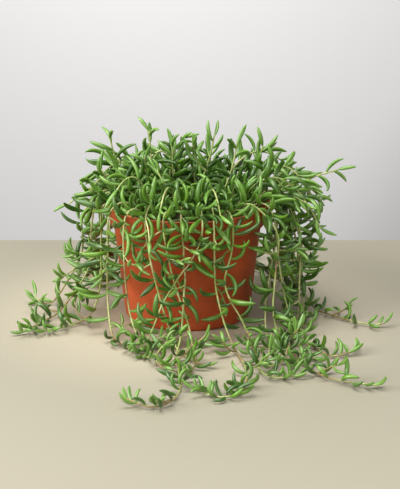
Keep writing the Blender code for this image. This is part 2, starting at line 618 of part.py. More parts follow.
def place_leaves(routes):
    """For each stem a list of leaves (root, heading, lift, length, bend), each clear of everything else."""
    draw = random.Random(SEED)
    obstacles = Obstacles(routes)
    placed = [[] for _ in routes]
    for stem, route in enumerate(routes):
        turn = draw.uniform(0.0, 2 * math.pi)
        for at, age in leaf_places(route):
            low = min(int(at), len(route) - 2)
            root = Vector(route[low] + (route[low + 1] - route[low]) * (at - low))
            along = Vector(route[low + 1] - route[max(low - 1, 0)]).normalized()
            turn += LEAF_TURN
            high = root.z > LEAF_HIGH
            lying = root.z < LEAF_FLOOR
            length = draw.uniform(*LEAF_LENGTH) * grown(YOUNG_LENGTH, 1.0, age)
            length *= LEAF_LENGTH_ON_FLOOR if lying else 1.0
            opening = grown(YOUNG_OPENING, LEAF_OPENING_HIGH if high else LEAF_OPENING_LOW, age)
            opening *= draw.uniform(*LEAF_OPENING_SPREAD)
            bend = draw.uniform(*(LEAF_BEND_ON_FLOOR if lying else LEAF_BEND)) * grown(YOUNG_BEND, 1.0, age)
            lean = Vector((draw.uniform(-1.0, 1.0), draw.uniform(-1.0, 1.0), 0.0)) * LEAF_LEAN
            drift = lean + UP * draw.uniform(*(LEAF_RISE_HIGH if high else LEAF_RISE_LOW))
            for extra, share in LEAF_TRIES:
                heading, lift = leaf_frame(along, turn + math.radians(extra), opening, drift)
                leaf = (root, heading, lift, length * share, bend)
                steps = [k / (LEAF_SAMPLES - 1) for k in range(LEAF_SAMPLES)]
                points = np.array([leaf_curve(*leaf, step) for step in steps])
                radii = np.array([leaf_radius(step, length * share) for step in steps])
                if obstacles.clear(points, radii, stem):
                    obstacles.keep(points, radii)
                    placed[stem].append(leaf)
                    break
    return placed


def leaf_solid(leaf):
    """A leaf with a flat inner face and a keel outside, from a point inside the stem to its own tip."""
    root, heading, lift, length, bend = leaf
    side = heading.cross(lift)
    shape = bmesh.new()
    rings = []
    for share in LEAF_RINGS:
        middle = leaf_curve(root, heading, lift, length, bend, share)
        inner = lift * math.cos(bend * share) - heading * math.sin(bend * share)
        wide = leaf_radius(share, length) * LEAF_KEEL
        rings.append([shape.verts.new(middle + side * wide + inner * wide * LEAF_HOLLOW_SIDE),
                      shape.verts.new(middle - side * wide + inner * wide * LEAF_HOLLOW_SIDE),
                      shape.verts.new(middle - inner * wide)])
    ends = (shape.verts.new(root - heading * LEAF_SUNK),
            shape.verts.new(leaf_curve(root, heading, lift, length, bend, 1.0)))
    for k in range(3):
        shape.faces.new((rings[0][k], rings[0][k - 1], ends[0]))
        shape.faces.new((rings[-1][k], rings[-1][k - 1], ends[1]))
        for low, high in zip(rings, rings[1:]):
            shape.faces.new((low[k], low[k - 1], high[k - 1], high[k]))
    bmesh.ops.recalc_face_normals(shape, faces=shape.faces)
    return shape


def key_points(route):
    """The numbers of the points that a route needs to stay within STEM_FLATNESS of its curve."""
    chord = route[-1] - route[0]
    length = np.linalg.norm(chord)
    reach = route - route[0]
    off = np.linalg.norm(np.cross(reach, chord), axis=1) / max(length, 1e-9)
    far = int(off.argmax())
    if len(route) < 3 or off[far] < STEM_FLATNESS:
        return [0, len(route) - 1]
    return key_points(route[:far + 1])[:-1] + [far + k for k in key_points(route[far:])]


def on_chords(route, keys, place):
    """The place nearest to this one on the straight runs between a stem's key points."""
    best = None
    for low, high in zip(keys, keys[1:]):
        start = Vector(route[low])
        run = Vector(route[high]) - start
        share = max(0.0, min(1.0, (place - start).dot(run) / run.length_squared))
        found = start + run * share
        if best is None or (found - place).length < (best - place).length:
            best = found
    return best


def stem_solid(route, keys):
    """A stem as a slim tube with few sides that thins to its tip."""
    points = [Vector(route[k]) for k in keys]
    shares = [k / (len(route) - 1) for k in keys]
    shape = bmesh.new()
    rings = []
    side = Vector((1.0, 0.0, 0.0))
    for k, (point, share) in enumerate(zip(points, shares)):
        along = (points[min(k + 1, len(points) - 1)] - points[max(k - 1, 0)]).normalized()
        side = (side - along * side.dot(along)).normalized()
        other = along.cross(side)
        radius = STEM_RADIUS + (STEM_TIP_RADIUS - STEM_RADIUS) * share
        angles = (2 * math.pi * j / STEM_SIDES for j in range(STEM_SIDES))
        rings.append([shape.verts.new(point + (side * math.cos(a) + other * math.sin(a)) * radius)
                      for a in angles])
    for low, high in zip(rings, rings[1:]):
        for j in range(STEM_SIDES):
            shape.faces.new((low[j - 1], low[j], high[j], high[j - 1]))
    shape.faces.new(rings[0])
    shape.faces.new(rings[-1])
    bmesh.ops.recalc_face_normals(shape, faces=shape.faces)
    return shape


def build_stem(name, route, leaves, material):
    """One leafy stem: its tube and its leaves, fused to one solid."""
    keys = [0] + [PLANTED_POINTS + k for k in key_points(route[PLANTED_POINTS:])]
    stem = add_object(name, stem_solid(route, keys), material)
    helpers = []
    for k, (root, *leaf) in enumerate(leaves):
        leaf = (on_chords(route, keys, root), *leaf)
        helpers.append(add_object(f"{name}_leaf_{k}", leaf_solid(leaf)))
    apply_boolean(stem, helpers, "UNION")
    stem.data.shade_smooth()
    stem.data.set_sharp_from_angle(angle=STEM_SHARP_EDGE)


def main():
    """Builds the pot, the soil and every leafy stem."""
    clear_scene()
    routes = [trailing_route(*stem) for stem in TRAILING] + [upright_route(*stem) for stem in UPRIGHT]
    routes = bent_clear(routes)
    leaves = place_leaves(routes)
    build_pot()
    build_soil([stem[0] for stem in TRAILING + UPRIGHT])
    foliage = finish("foliage", *FOLIAGE_FINISH)
    names = [f"trailing_stem_{k + 1:02d}" for k in range(len(TRAILING))]
    names += [f"upright_stem_{k + 1:02d}" for k in range(len(UPRIGHT))]
    for name, route, growth in zip(names, routes, leaves):
        build_stem(name, route, growth, foliage)


main()
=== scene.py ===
"""Looks of a potted string of bananas: pot, soil and foliage, each finer than its solid and in its place.

The stems follow the same routes and carry the same leaves as the solids, which this script works out again
from the same rule. It then adds side shoots and the leaves between, and gives every surface its finish.
"""

import logging
import math
import random
from collections.abc import Callable
from dataclasses import dataclass, field
from enum import Enum

import bmesh
import bpy
import numpy as np
from mathutils import Matrix, Vector, noise


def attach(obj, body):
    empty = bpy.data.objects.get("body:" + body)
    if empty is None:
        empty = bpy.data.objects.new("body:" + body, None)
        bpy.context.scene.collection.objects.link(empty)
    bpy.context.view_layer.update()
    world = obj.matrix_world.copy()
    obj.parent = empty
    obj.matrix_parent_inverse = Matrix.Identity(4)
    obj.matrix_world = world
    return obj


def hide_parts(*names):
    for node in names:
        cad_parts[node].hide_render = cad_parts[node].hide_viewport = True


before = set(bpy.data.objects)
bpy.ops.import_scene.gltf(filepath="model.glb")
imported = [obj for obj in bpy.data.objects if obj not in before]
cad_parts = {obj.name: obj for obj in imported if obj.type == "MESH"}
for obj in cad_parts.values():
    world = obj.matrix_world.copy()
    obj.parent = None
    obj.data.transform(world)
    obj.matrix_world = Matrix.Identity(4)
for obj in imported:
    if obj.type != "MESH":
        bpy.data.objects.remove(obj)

LOG = logging.getLogger("string_of_bananas")
UP = Vector((0.0, 0.0, 1.0))
BODY = "root"

Colour = tuple[float, float, float]
Place = tuple[float, float, float]
Span = tuple[float, float]


class Habit(Enum):
    """How a stem of the mound goes from the soil to its tip.

    The values are its turning point's share of the way out and of the way up, and what it is lifted.
    """

    SPREADING = (0.50, 0.75, 0.0)
    UPTURNED = (0.75, 0.42, 0.0)
    ARCHING = (0.42, 0.80, 0.045)
    DROOPING = (0.50, 0.50, 0.085)


class Part(Enum):
    """The two kinds of surface of a leafy stem, in the order of its material slots."""

    STEM = 0
    LEAF = 1


@dataclass(frozen=True)
class Leaf:
    """One leaf: an arc that leaves its root along a heading and turns towards its lift.

    Attributes:
        root: Where it grows from, on the stem's middle line.
        heading: The direction it leaves in.
        lift: The direction square to the heading that it turns towards.
        length: Its length along the arc.
        bend: The angle that it turns through.
        age: From 0 at the stem's tip to 1 where it is full grown.
    """

    root: Vector
    heading: Vector
    lift: Vector
    length: float
    bend: float
    age: float

    def at(self, share: float) -> Vector:
        """The place at a share of the leaf's length."""
        angle = self.bend * share
        return self.root + (self.length / self.bend) * (
            self.heading * math.sin(angle) + self.lift * (1 - math.cos(angle)))

    def inward(self, share: float) -> Vector:
        """The direction from the leaf's middle line to the hollow side of its curve."""
        angle = self.bend * share
        return self.lift * math.cos(angle) - self.heading * math.sin(angle)


@dataclass(frozen=True)
class PotSize:
    """Sizes of the moulded pot, in metres."""

    height: float = 0.110
    wall: float = 0.0018
    floor: float = 0.0024
    foot_radius: float = 0.0555
    foot_rounding: float = 0.0030
    body_top_radius: float = 0.0688
    band_bottom: float = 0.0895
    band_bottom_radius: float = 0.0720
    band_step: float = 0.0012
    rim_radius: float = 0.0770
    lip_rounding: float = 0.0009
    drain_slots: int = 7
    drain_size: Place = (0.0110, 0.0075, 0.0052)
    drain_turn: float = math.radians(-104.5)
    soil_top: float = 0.0965

    def outer_radius(self, height: float) -> float:
        """The outer radius at a height, without the rounded foot and lip."""
        if height >= self.band_bottom:
            share = (height - self.band_bottom) / (self.height - self.band_bottom)
            return self.band_bottom_radius + (self.rim_radius - self.band_bottom_radius) * min(share, 1.0)
        taper = (self.body_top_radius - self.foot_radius - self.foot_rounding) / self.band_bottom
        return self.foot_radius + self.foot_rounding + taper * max(height, 0.0)


POT = PotSize()

# Trailing stems: where each stands in the soil, then the places it passes, the tip last
TRAILING: tuple[tuple[tuple[float, ...], ...], ...] = (
    # round the left of the pot
    ((-0.052, 0.006), (-0.066, 0.003, 0.121), (-0.084, 0.000, 0.114), (-0.098, 0.001, 0.092),
     (-0.099, 0.004, 0.059), (-0.114, 0.012, 0.026), (-0.131, 0.016, 0.003), (-0.148, 0.022, 0.006)),
    ((-0.055, -0.014), (-0.068, -0.012, 0.119), (-0.083, -0.011, 0.112), (-0.089, -0.012, 0.085),
     (-0.091, -0.012, 0.050), (-0.108, -0.011, 0.020), (-0.124, -0.020, 0.003), (-0.138, -0.046, 0.003),
     (-0.150, -0.074, 0.005)),
    ((-0.048, -0.030), (-0.062, -0.032, 0.119), (-0.077, -0.034, 0.111), (-0.079, -0.034, 0.080),
     (-0.080, -0.032, 0.040), (-0.088, -0.036, 0.012), (-0.103, -0.044, 0.003), (-0.119, -0.057, 0.003),
     (-0.131, -0.066, 0.004)),
    # across the front
    ((-0.040, -0.040), (-0.055, -0.047, 0.120), (-0.070, -0.052, 0.110), (-0.072, -0.055, 0.074),
     (-0.072, -0.063, 0.031), (-0.066, -0.084, 0.003), (-0.046, -0.118, 0.003), (-0.030, -0.134, 0.003)),
    ((-0.033, -0.053), (-0.046, -0.063, 0.118), (-0.056, -0.069, 0.108), (-0.056, -0.070, 0.060),
     (-0.050, -0.084, 0.021), (-0.037, -0.112, 0.003), (-0.023, -0.153, 0.003), (-0.008, -0.167, 0.003)),
    ((-0.025, -0.046), (-0.032, -0.063, 0.122), (-0.037, -0.079, 0.110), (-0.033, -0.083, 0.079),
     (-0.026, -0.087, 0.049), (-0.015, -0.096, 0.014), (-0.006, -0.120, 0.003), (0.014, -0.152, 0.003)),
    ((-0.014, -0.058), (-0.018, -0.072, 0.118), (-0.021, -0.084, 0.108), (-0.016, -0.085, 0.076),
     (-0.009, -0.089, 0.050), (0.000, -0.097, 0.025), (0.006, -0.114, 0.004), (0.008, -0.150, 0.003),
     (0.002, -0.176, 0.003)),
    ((-0.002, -0.044), (-0.004, -0.066, 0.123), (-0.005, -0.086, 0.111), (-0.002, -0.089, 0.076),
     (-0.003, -0.096, 0.040), (-0.006, -0.112, 0.010), (-0.010, -0.150, 0.003), (-0.004, -0.200, 0.003),
     (-0.012, -0.238, 0.003), (-0.030, -0.250, 0.003), (-0.050, -0.236, 0.005)),
    ((0.008, -0.056), (0.012, -0.070, 0.119), (0.014, -0.084, 0.110), (0.012, -0.085, 0.094),
     (0.005, -0.087, 0.080), (-0.007, -0.090, 0.062), (-0.021, -0.096, 0.041), (-0.030, -0.104, 0.020),
     (-0.040, -0.122, 0.003)),
    ((0.018, -0.044), (0.022, -0.065, 0.122), (0.024, -0.082, 0.110), (0.025, -0.085, 0.062),
     (0.028, -0.090, 0.041), (0.035, -0.100, 0.018), (0.044, -0.120, 0.003), (0.051, -0.160, 0.003),
     (0.050, -0.200, 0.003), (0.042, -0.222, 0.003), (0.026, -0.228, 0.003), (0.008, -0.210, 0.004)),
    ((0.029, -0.055), (0.036, -0.068, 0.118), (0.041, -0.079, 0.108), (0.040, -0.079, 0.083),
     (0.034, -0.084, 0.059), (0.038, -0.087, 0.042), (0.049, -0.091, 0.023), (0.058, -0.102, 0.004),
     (0.062, -0.136, 0.003), (0.064, -0.168, 0.003), (0.078, -0.184, 0.003), (0.098, -0.176, 0.003)),
    ((0.036, -0.044), (0.053, -0.056, 0.121), (0.070, -0.062, 0.112), (0.082, -0.064, 0.092),
     (0.080, -0.066, 0.060), (0.078, -0.080, 0.024), (0.088, -0.112, 0.003), (0.112, -0.172, 0.003),
     (0.134, -0.192, 0.003), (0.162, -0.205, 0.004)),
    # round the right
    ((0.048, -0.036), (0.064, -0.045, 0.119), (0.078, -0.050, 0.108), (0.084, -0.053, 0.062),
     (0.091, -0.060, 0.026), (0.104, -0.086, 0.003), (0.128, -0.130, 0.003), (0.152, -0.116, 0.005)),
    ((0.052, -0.024), (0.067, -0.027, 0.121), (0.081, -0.030, 0.110), (0.081, -0.033, 0.080),
     (0.075, -0.050, 0.050), (0.071, -0.066, 0.022), (0.074, -0.090, 0.003), (0.092, -0.128, 0.003),
     (0.114, -0.138, 0.003)),
    ((0.058, -0.009), (0.074, -0.010, 0.121), (0.091, -0.012, 0.111), (0.104, -0.014, 0.076),
     (0.104, -0.022, 0.038), (0.103, -0.034, 0.014), (0.098, -0.066, 0.003), (0.088, -0.134, 0.003),
     (0.070, -0.160, 0.003)),
    ((0.060, 0.002), (0.082, 0.000, 0.119), (0.097, -0.002, 0.104), (0.106, -0.005, 0.072),
     (0.107, -0.010, 0.040), (0.108, -0.022, 0.012), (0.108, -0.046, 0.003), (0.100, -0.076, 0.003)),
    ((0.057, 0.013), (0.075, 0.013, 0.121), (0.091, 0.013, 0.110), (0.102, 0.012, 0.067),
     (0.108, 0.006, 0.025), (0.122, -0.004, 0.003), (0.150, -0.034, 0.003), (0.170, -0.047, 0.003),
     (0.182, -0.048, 0.005)),
    ((0.054, 0.026), (0.072, 0.030, 0.121), (0.088, 0.034, 0.110), (0.098, 0.036, 0.072),
     (0.103, 0.040, 0.034), (0.108, 0.050, 0.004), (0.106, 0.084, 0.003), (0.102, 0.112, 0.004)),
    # across the back
    ((0.047, 0.038), (0.062, 0.048, 0.120), (0.074, 0.056, 0.110), (0.080, 0.062, 0.068),
     (0.085, 0.070, 0.030), (0.090, 0.086, 0.003), (0.096, 0.120, 0.003), (0.104, 0.150, 0.004)),
    ((0.034, 0.048), (0.044, 0.064, 0.121), (0.052, 0.076, 0.110), (0.057, 0.083, 0.068),
     (0.062, 0.094, 0.028), (0.074, 0.118, 0.003), (0.098, 0.142, 0.003), (0.100, 0.168, 0.004)),
    ((0.018, 0.054), (0.023, 0.070, 0.120), (0.028, 0.084, 0.110), (0.032, 0.090, 0.070),
     (0.036, 0.098, 0.030), (0.042, 0.122, 0.003), (0.058, 0.160, 0.003), (0.048, 0.186, 0.004)),
    ((0.002, 0.058), (0.004, 0.073, 0.119), (0.006, 0.086, 0.109), (0.006, 0.090, 0.080),
     (0.000, 0.093, 0.052), (-0.008, 0.097, 0.024)),
    ((-0.013, 0.055), (-0.017, 0.071, 0.121), (-0.021, 0.085, 0.110), (-0.022, 0.092, 0.066),
     (-0.018, 0.102, 0.027), (-0.010, 0.128, 0.003), (-0.002, 0.170, 0.003), (-0.020, 0.192, 0.004)),
    ((-0.029, 0.049), (-0.038, 0.065, 0.120), (-0.045, 0.078, 0.110), (-0.049, 0.086, 0.068),
     (-0.052, 0.096, 0.030), (-0.060, 0.122, 0.003), (-0.056, 0.156, 0.003), (-0.068, 0.182, 0.004)),
    ((-0.043, 0.038), (-0.057, 0.050, 0.121), (-0.069, 0.060, 0.110), (-0.075, 0.066, 0.070),
     (-0.080, 0.075, 0.032), (-0.086, 0.094, 0.003), (-0.086, 0.130, 0.003), (-0.098, 0.152, 0.004)),
    ((-0.053, 0.022), (-0.069, 0.030, 0.120), (-0.080, 0.040, 0.109), (-0.083, 0.044, 0.070),
     (-0.084, 0.050, 0.034), (-0.088, 0.064, 0.003), (-0.092, 0.092, 0.003), (-0.106, 0.116, 0.004)),
)

# Stems of the mound: where each stands in the soil, its tip, and how it gets there
UPRIGHT: tuple[tuple[tuple[float, float], Place, Habit], ...] = (
    ((-0.028, 0.008), (-0.035, -0.004, 0.177), Habit.UPTURNED),
    ((-0.042, 0.018), (-0.072, 0.010, 0.167), Habit.UPTURNED),
    ((-0.044, -0.002), (-0.080, -0.002, 0.140), Habit.UPTURNED),
    ((-0.044, -0.016), (-0.090, -0.018, 0.122), Habit.ARCHING),
    ((0.000, 0.004), (0.025, 0.006, 0.170), Habit.UPTURNED),
    ((0.026, 0.004), (0.046, 0.000, 0.164), Habit.UPTURNED),
    ((0.043, 0.014), (0.070, 0.008, 0.160), Habit.UPTURNED),
    ((0.047, 0.001), (0.084, -0.006, 0.140), Habit.UPTURNED),
    ((0.049, -0.010), (0.106, -0.014, 0.132), Habit.ARCHING),
    ((0.042, -0.020), (0.141, 0.002, 0.138), Habit.SPREADING),
    ((0.040, 0.026), (0.122, 0.026, 0.108), Habit.ARCHING),
    ((0.040, -0.030), (0.122, -0.036, 0.092), Habit.DROOPING),
    ((-0.038, 0.006), (-0.113, 0.014, 0.100), Habit.ARCHING),
    ((-0.014, 0.018), (-0.014, 0.014, 0.158), Habit.UPTURNED),
    ((0.012, 0.022), (0.004, 0.026, 0.144), Habit.UPTURNED),
    ((-0.028, 0.026), (-0.056, 0.030, 0.146), Habit.UPTURNED),
    ((-0.032, -0.016), (-0.054, -0.044, 0.135), Habit.UPTURNED),
    ((-0.014, -0.018), (-0.018, -0.052, 0.133), Habit.UPTURNED),
    ((0.006, -0.020), (0.014, -0.056, 0.131), Habit.UPTURNED),
    ((0.026, -0.016), (0.042, -0.050, 0.134), Habit.UPTURNED),
    ((0.030, -0.030), (0.068, -0.048, 0.127), Habit.UPTURNED),
    ((-0.026, 0.038), (-0.050, 0.060, 0.133), Habit.UPTURNED),
    ((-0.008, 0.042), (-0.016, 0.070, 0.134), Habit.UPTURNED),
    ((0.014, 0.040), (0.022, 0.064, 0.137), Habit.UPTURNED),
    ((0.030, 0.034), (0.054, 0.052, 0.135), Habit.UPTURNED),
    ((-0.030, -0.030), (-0.066, -0.056, 0.128), Habit.ARCHING),
    ((-0.010, -0.034), (-0.024, -0.086, 0.120), Habit.ARCHING),
    ((0.016, -0.032), (0.030, -0.088, 0.118), Habit.ARCHING),
    ((-0.044, 0.030), (-0.088, 0.050, 0.122), Habit.ARCHING),
    ((0.026, 0.020), (0.092, 0.040, 0.134), Habit.ARCHING),
    ((-0.002, 0.034), (-0.040, 0.012, 0.138), Habit.ARCHING),
    ((-0.020, 0.012), (0.004, 0.050, 0.136), Habit.ARCHING),
)


# Where leaves bunch up or stand apart: a place, how far it reaches, and what their spacing is multiplied by
BUNCHES: tuple[tuple[Place, float, float], ...] = (
    ((-0.131, -0.054, 0.008), 0.030, 0.50),
    ((-0.057, -0.120, 0.008), 0.030, 0.50),
    ((-0.033, -0.112, 0.012), 0.026, 0.65),
    ((0.034, -0.222, 0.006), 0.036, 0.42),
    ((0.006, -0.192, 0.006), 0.026, 0.45),
    ((0.078, -0.108, 0.010), 0.034, 0.60),
    ((0.085, -0.166, 0.006), 0.040, 0.60),
    ((0.010, -0.130, 0.005), 0.034, 2.20),
    ((0.098, -0.012, 0.062), 0.070, 0.62),
    ((-0.104, -0.004, 0.058), 0.054, 0.60),
    ((-0.076, -0.030, 0.092), 0.030, 1.70),
    ((-0.092, 0.000, 0.116), 0.036, 1.80),
    ((0.072, -0.058, 0.078), 0.034, 1.70),
    ((0.150, -0.040, 0.005), 0.040, 1.30),
    ((0.051, -0.160, 0.004), 0.030, 2.40),
    ((0.010, -0.078, 0.112), 0.045, 0.65),
    ((-0.018, 0.024, 0.122), 0.045, 0.70),
)


def crowding(place: np.ndarray) -> float:
    """What the spacing of leaves is multiplied by at a place."""
    factor = 1.0
    for middle, reach, share in BUNCHES:
        factor *= share ** min(1.0, 2 * max(0.0, 1 - math.dist(place, middle) / reach))
    return factor


@dataclass(frozen=True)
class StemRule:
    """How the stems' middle lines are drawn and kept apart, in metres."""

    radius: float = 0.0010
    tip_radius: float = 0.00075
    step: float = 0.0050
    space: float = 0.0056
    clearance: float = 0.0024
    rounds: int = 90
    planted_depth: float = 0.0120
    planted_points: int = 3

    def smooth(self, places: list[np.ndarray]) -> np.ndarray:
        """Points one step apart on a smooth curve through some places.

        Args:
            places: The places, the root first.

        Returns:
            An array of points, one row each.
        """
        ends = [places[0] * 2 - places[1], *places, places[-1] * 2 - places[-2]]
        fine = [places[0]]
        for before, start, end, after in zip(ends, ends[1:], ends[2:], ends[3:]):
            for k in range(1, 17):
                t = k / 16
                fine.append(0.5 * (2 * start + (end - before) * t
                                   + (2 * before - 5 * start + 4 * end - after) * t * t
                                   + (3 * start - before - 3 * end + after) * t * t * t))
        curve = np.array(fine)
        run = np.concatenate([[0.0], np.cumsum(np.linalg.norm(np.diff(curve, axis=0), axis=1))])
        count = max(4, round(run[-1] / self.step))
        at = np.linspace(0.0, run[-1], count + 1)
        return np.stack([np.interp(at, run, curve[:, axis]) for axis in range(3)], axis=1)

    def planted(self, x: float, y: float) -> list[np.ndarray]:
        """The lowest places of a stem: its end in the soil, where it comes out, and a little above."""
        return [np.array((x, y, POT.soil_top + rise)) for rise in (-self.planted_depth, 0.0, self.step)]

    def rooted(self, route: np.ndarray) -> np.ndarray:
        """The route, with its planted stretch straight up."""
        route[:self.planted_points + 1, :2] = route[0, :2]
        return route

    def trailing(self, root: tuple[float, ...], *places: tuple[float, ...]) -> np.ndarray:
        """The route of a stem that goes over the rim and down."""
        return self.rooted(self.smooth(self.planted(*root) + [np.array(place) for place in places]))

    def upright(self, root: tuple[float, float], tip: Place, habit: Habit) -> np.ndarray:
        """The route of a stem of the mound.

        Args:
            root: Where it stands in the soil.
            tip: Its tip.
            habit: How it gets there.

        Returns:
            The route's points.
        """
        base = self.planted(*root)
        start = base[-1]
        end = np.array(tip)
        out, rise, lift = habit.value
        turn = start + (end - start) * (out, out, rise) + (0.0, 0.0, lift)
        shares = np.linspace(0.0, 1.0, 9)[1:, None]
        curve = (1 - shares) ** 2 * start + 2 * shares * (1 - shares) * turn + shares ** 2 * end
        return self.rooted(self.smooth([*base, *curve]))

    def held_off(self, points: np.ndarray) -> np.ndarray:
        """The points, with any that come too near the pot or the floor moved out from it."""
        gap = self.clearance
        points = points.copy()
        radius = np.maximum(np.hypot(points[:, 0], points[:, 1]), 1e-6)
        wall = np.array([POT.outer_radius(z) for z in points[:, 2]])
        outside = (radius > wall - POT.wall / 2) & (points[:, 2] < POT.height)
        near = outside & (radius < wall + gap)
        points[near, :2] *= ((wall + gap) / radius)[near, None]
        over = (points[:, 2] >= POT.height) & (np.abs(radius - POT.rim_radius) < 2 * gap)
        points[over, 2] = np.maximum(points[over, 2], POT.height + 2 * gap)
        points[:, 2] = np.maximum(points[:, 2], gap)
        return points

    def bent_clear(self, routes: list[np.ndarray]) -> list[np.ndarray]:
        """The routes, bent away from each other where two stems would touch or cross.

        The later stem of a pair passes over the earlier one on the floor, and outside it on the pot.

        Args:
            routes: The points of each stem.

        Returns:
            The moved points of each stem.
        """
        home = np.concatenate(routes)
        owner = np.concatenate([np.full(len(route), k) for k, route in enumerate(routes)])
        along = np.concatenate([np.gradient(route, axis=0) for route in routes])
        along /= np.linalg.norm(along, axis=1)[:, None]
        order = np.concatenate([np.arange(len(route)) for route in routes])
        free = np.clip((order - self.planted_points) / 4, 0.0, 1.0)[:, None]
        place = home
        for _ in range(self.rounds):
            square = (place ** 2).sum(axis=1)
            apart = square[:, None] + square[None, :] - 2 * place @ place.T
            first, second = np.nonzero((apart < self.space ** 2) & (owner[:, None] < owner[None, :]))
            between = place[second] - place[first]
            distance = np.linalg.norm(between, axis=1)[:, None]
            outward = place[first] * (1.0, 1.0, 0.0) + (0.0, 0.0, 0.03)
            across = np.cross(along[first], along[second])
            across *= np.where((across * outward).sum(axis=1) < 0, -1.0, 1.0)[:, None]
            way = between / np.maximum(distance, 1e-6) + 1.2 * across
            way /= np.maximum(np.linalg.norm(way, axis=1), 1e-6)[:, None]
            step = way * (self.space - distance) * 0.25
            push = np.zeros_like(place)
            np.add.at(push, second, step)
            np.add.at(push, first, -step)
            push *= free
            for _ in range(2):
                softer = push.copy()
                same = owner[1:] == owner[:-1]
                softer[1:][same] += push[:-1][same]
                softer[:-1][same] += push[1:][same]
                push = softer / 2.2
            length = np.linalg.norm(push, axis=1)[:, None]
            push *= np.minimum(1.0, 0.002 / np.maximum(length, 1e-9))
            place = np.where(free > 0, self.held_off(place + push * free), place)
        starts = np.cumsum([0] + [len(route) for route in routes])
        return [place[a:b] for a, b in zip(starts, starts[1:])]


def grown(young: float, full: float, age: float) -> float:
    """What a young leaf's value has grown to at an age from 0 to 1."""
    return young + (full - young) * age


@dataclass(frozen=True)
class LeafRule:
    """How leaves are sized, spaced and turned along a stem, in metres and radians.

    Each young value is what the matching full one starts from at the tip.
    """

    lengths: Span = (0.0225, 0.0310)
    stoutness: Span = (0.0009, 0.060)
    fullness: float = 2.0
    rounding: float = 0.66
    neck: float = 0.00055
    bends: Span = (math.radians(44), math.radians(120))
    bends_on_floor: Span = (math.radians(62), math.radians(138))
    length_on_floor: float = 0.80
    opening_low: float = math.radians(76)
    opening_high: float = math.radians(60)
    opening_spread: Span = (0.80, 1.22)
    turn: float = math.radians(137.5)
    rise_low: Span = (-0.10, 1.25)
    rise_high: Span = (-0.75, 0.95)
    along: float = 0.15
    lean: float = 0.9
    least_lift: float = 0.3
    steep: float = 0.8
    young_stretch: float = 0.030
    young_length: float = 0.68
    young_opening: float = math.radians(30)
    young_bend: float = 0.40
    young_spacing: float = 0.34
    spacing_low: float = 0.0300
    spacing_high: float = 0.0137
    high: float = 0.104
    floor: float = 0.016
    tip_gap: float = 0.0015
    clearance: float = 0.0013
    samples: int = 9
    samples_at_root: int = 3
    first: float = 0.011

    def radius(self, share: float, length: float) -> float:
        """A leaf's radius at a share of its length: a thin neck, a plump middle and a pointed tip."""
        swell = (1 - abs(2 * share - 1) ** self.fullness) ** self.rounding
        return max(self.neck * (1 - share), (self.stoutness[0] + self.stoutness[1] * length) * swell)

    def frame(self, along: Vector, turn: float, opening: float, drift: Vector) -> tuple[Vector, Vector]:
        """A leaf's heading and lift.

        Args:
            along: The stem's direction there, towards its tip.
            turn: The leaf's angle about the stem.
            opening: The angle between stem and leaf.
            drift: What the leaf turns towards, besides a little along the stem.

        Returns:
            The heading, and the direction square to it that the leaf turns towards.
        """
        side = along.cross(UP if abs(along.z) < self.steep else Vector((1.0, 0.0, 0.0))).normalized()
        out = side * math.cos(turn) + along.cross(side) * math.sin(turn)
        heading = (along * math.cos(opening) + out * math.sin(opening)).normalized()
        lift = drift + along * self.along
        lift -= heading * lift.dot(heading)
        if lift.length < self.least_lift:
            lift = -out + heading * out.dot(heading)
        return heading, lift.normalized()

    def drift(self, height: float, draw: random.Random) -> Vector:
        """Draws what a leaf turns towards: mostly up on a hanging stem, up or down in the mound."""
        lean = Vector((draw.uniform(-1.0, 1.0), draw.uniform(-1.0, 1.0), 0.0)) * self.lean
        return lean + UP * draw.uniform(*(self.rise_high if height > self.high else self.rise_low))

    def places(self, route: np.ndarray, scale: float = 1.0, bare: float = 0.0,
               back: float = 0.0) -> list[tuple[float, float]]:
        """Where leaves grow along a stem.

        Args:
            route: The stem's points.
            scale: What the spacing is multiplied by.
            bare: The stretch from the route's first point on that has no leaves.
            back: The further stretch at the tip that has none.

        Returns:
            For each leaf, where along the route's points it grows, and its age.
        """
        stretch = float(np.linalg.norm(np.diff(route, axis=0), axis=1).mean())
        found = []
        back += self.tip_gap
        while True:
            at = len(route) - 1 - back / stretch
            if at * stretch < bare:
                return found
            age = min(1.0, back / self.young_stretch)
            found.append((at, age))
            spacing = self.spacing_high if route[int(at)][2] > self.high else self.spacing_low
            spacing *= crowding(route[int(at)])
            back += spacing * scale * grown(self.young_spacing, 1.0, age)


# Where a leaf that would touch something is tried next: turned about the stem by so much, at this share
# of its length
TRIES = ((0, 1.0), (40, 1.0), (-40, 1.0), (80, 1.0), (-80, 1.0), (125, 0.9), (-125, 0.9), (180, 0.85),
         (0, 0.7), (60, 0.7), (-60, 0.7))


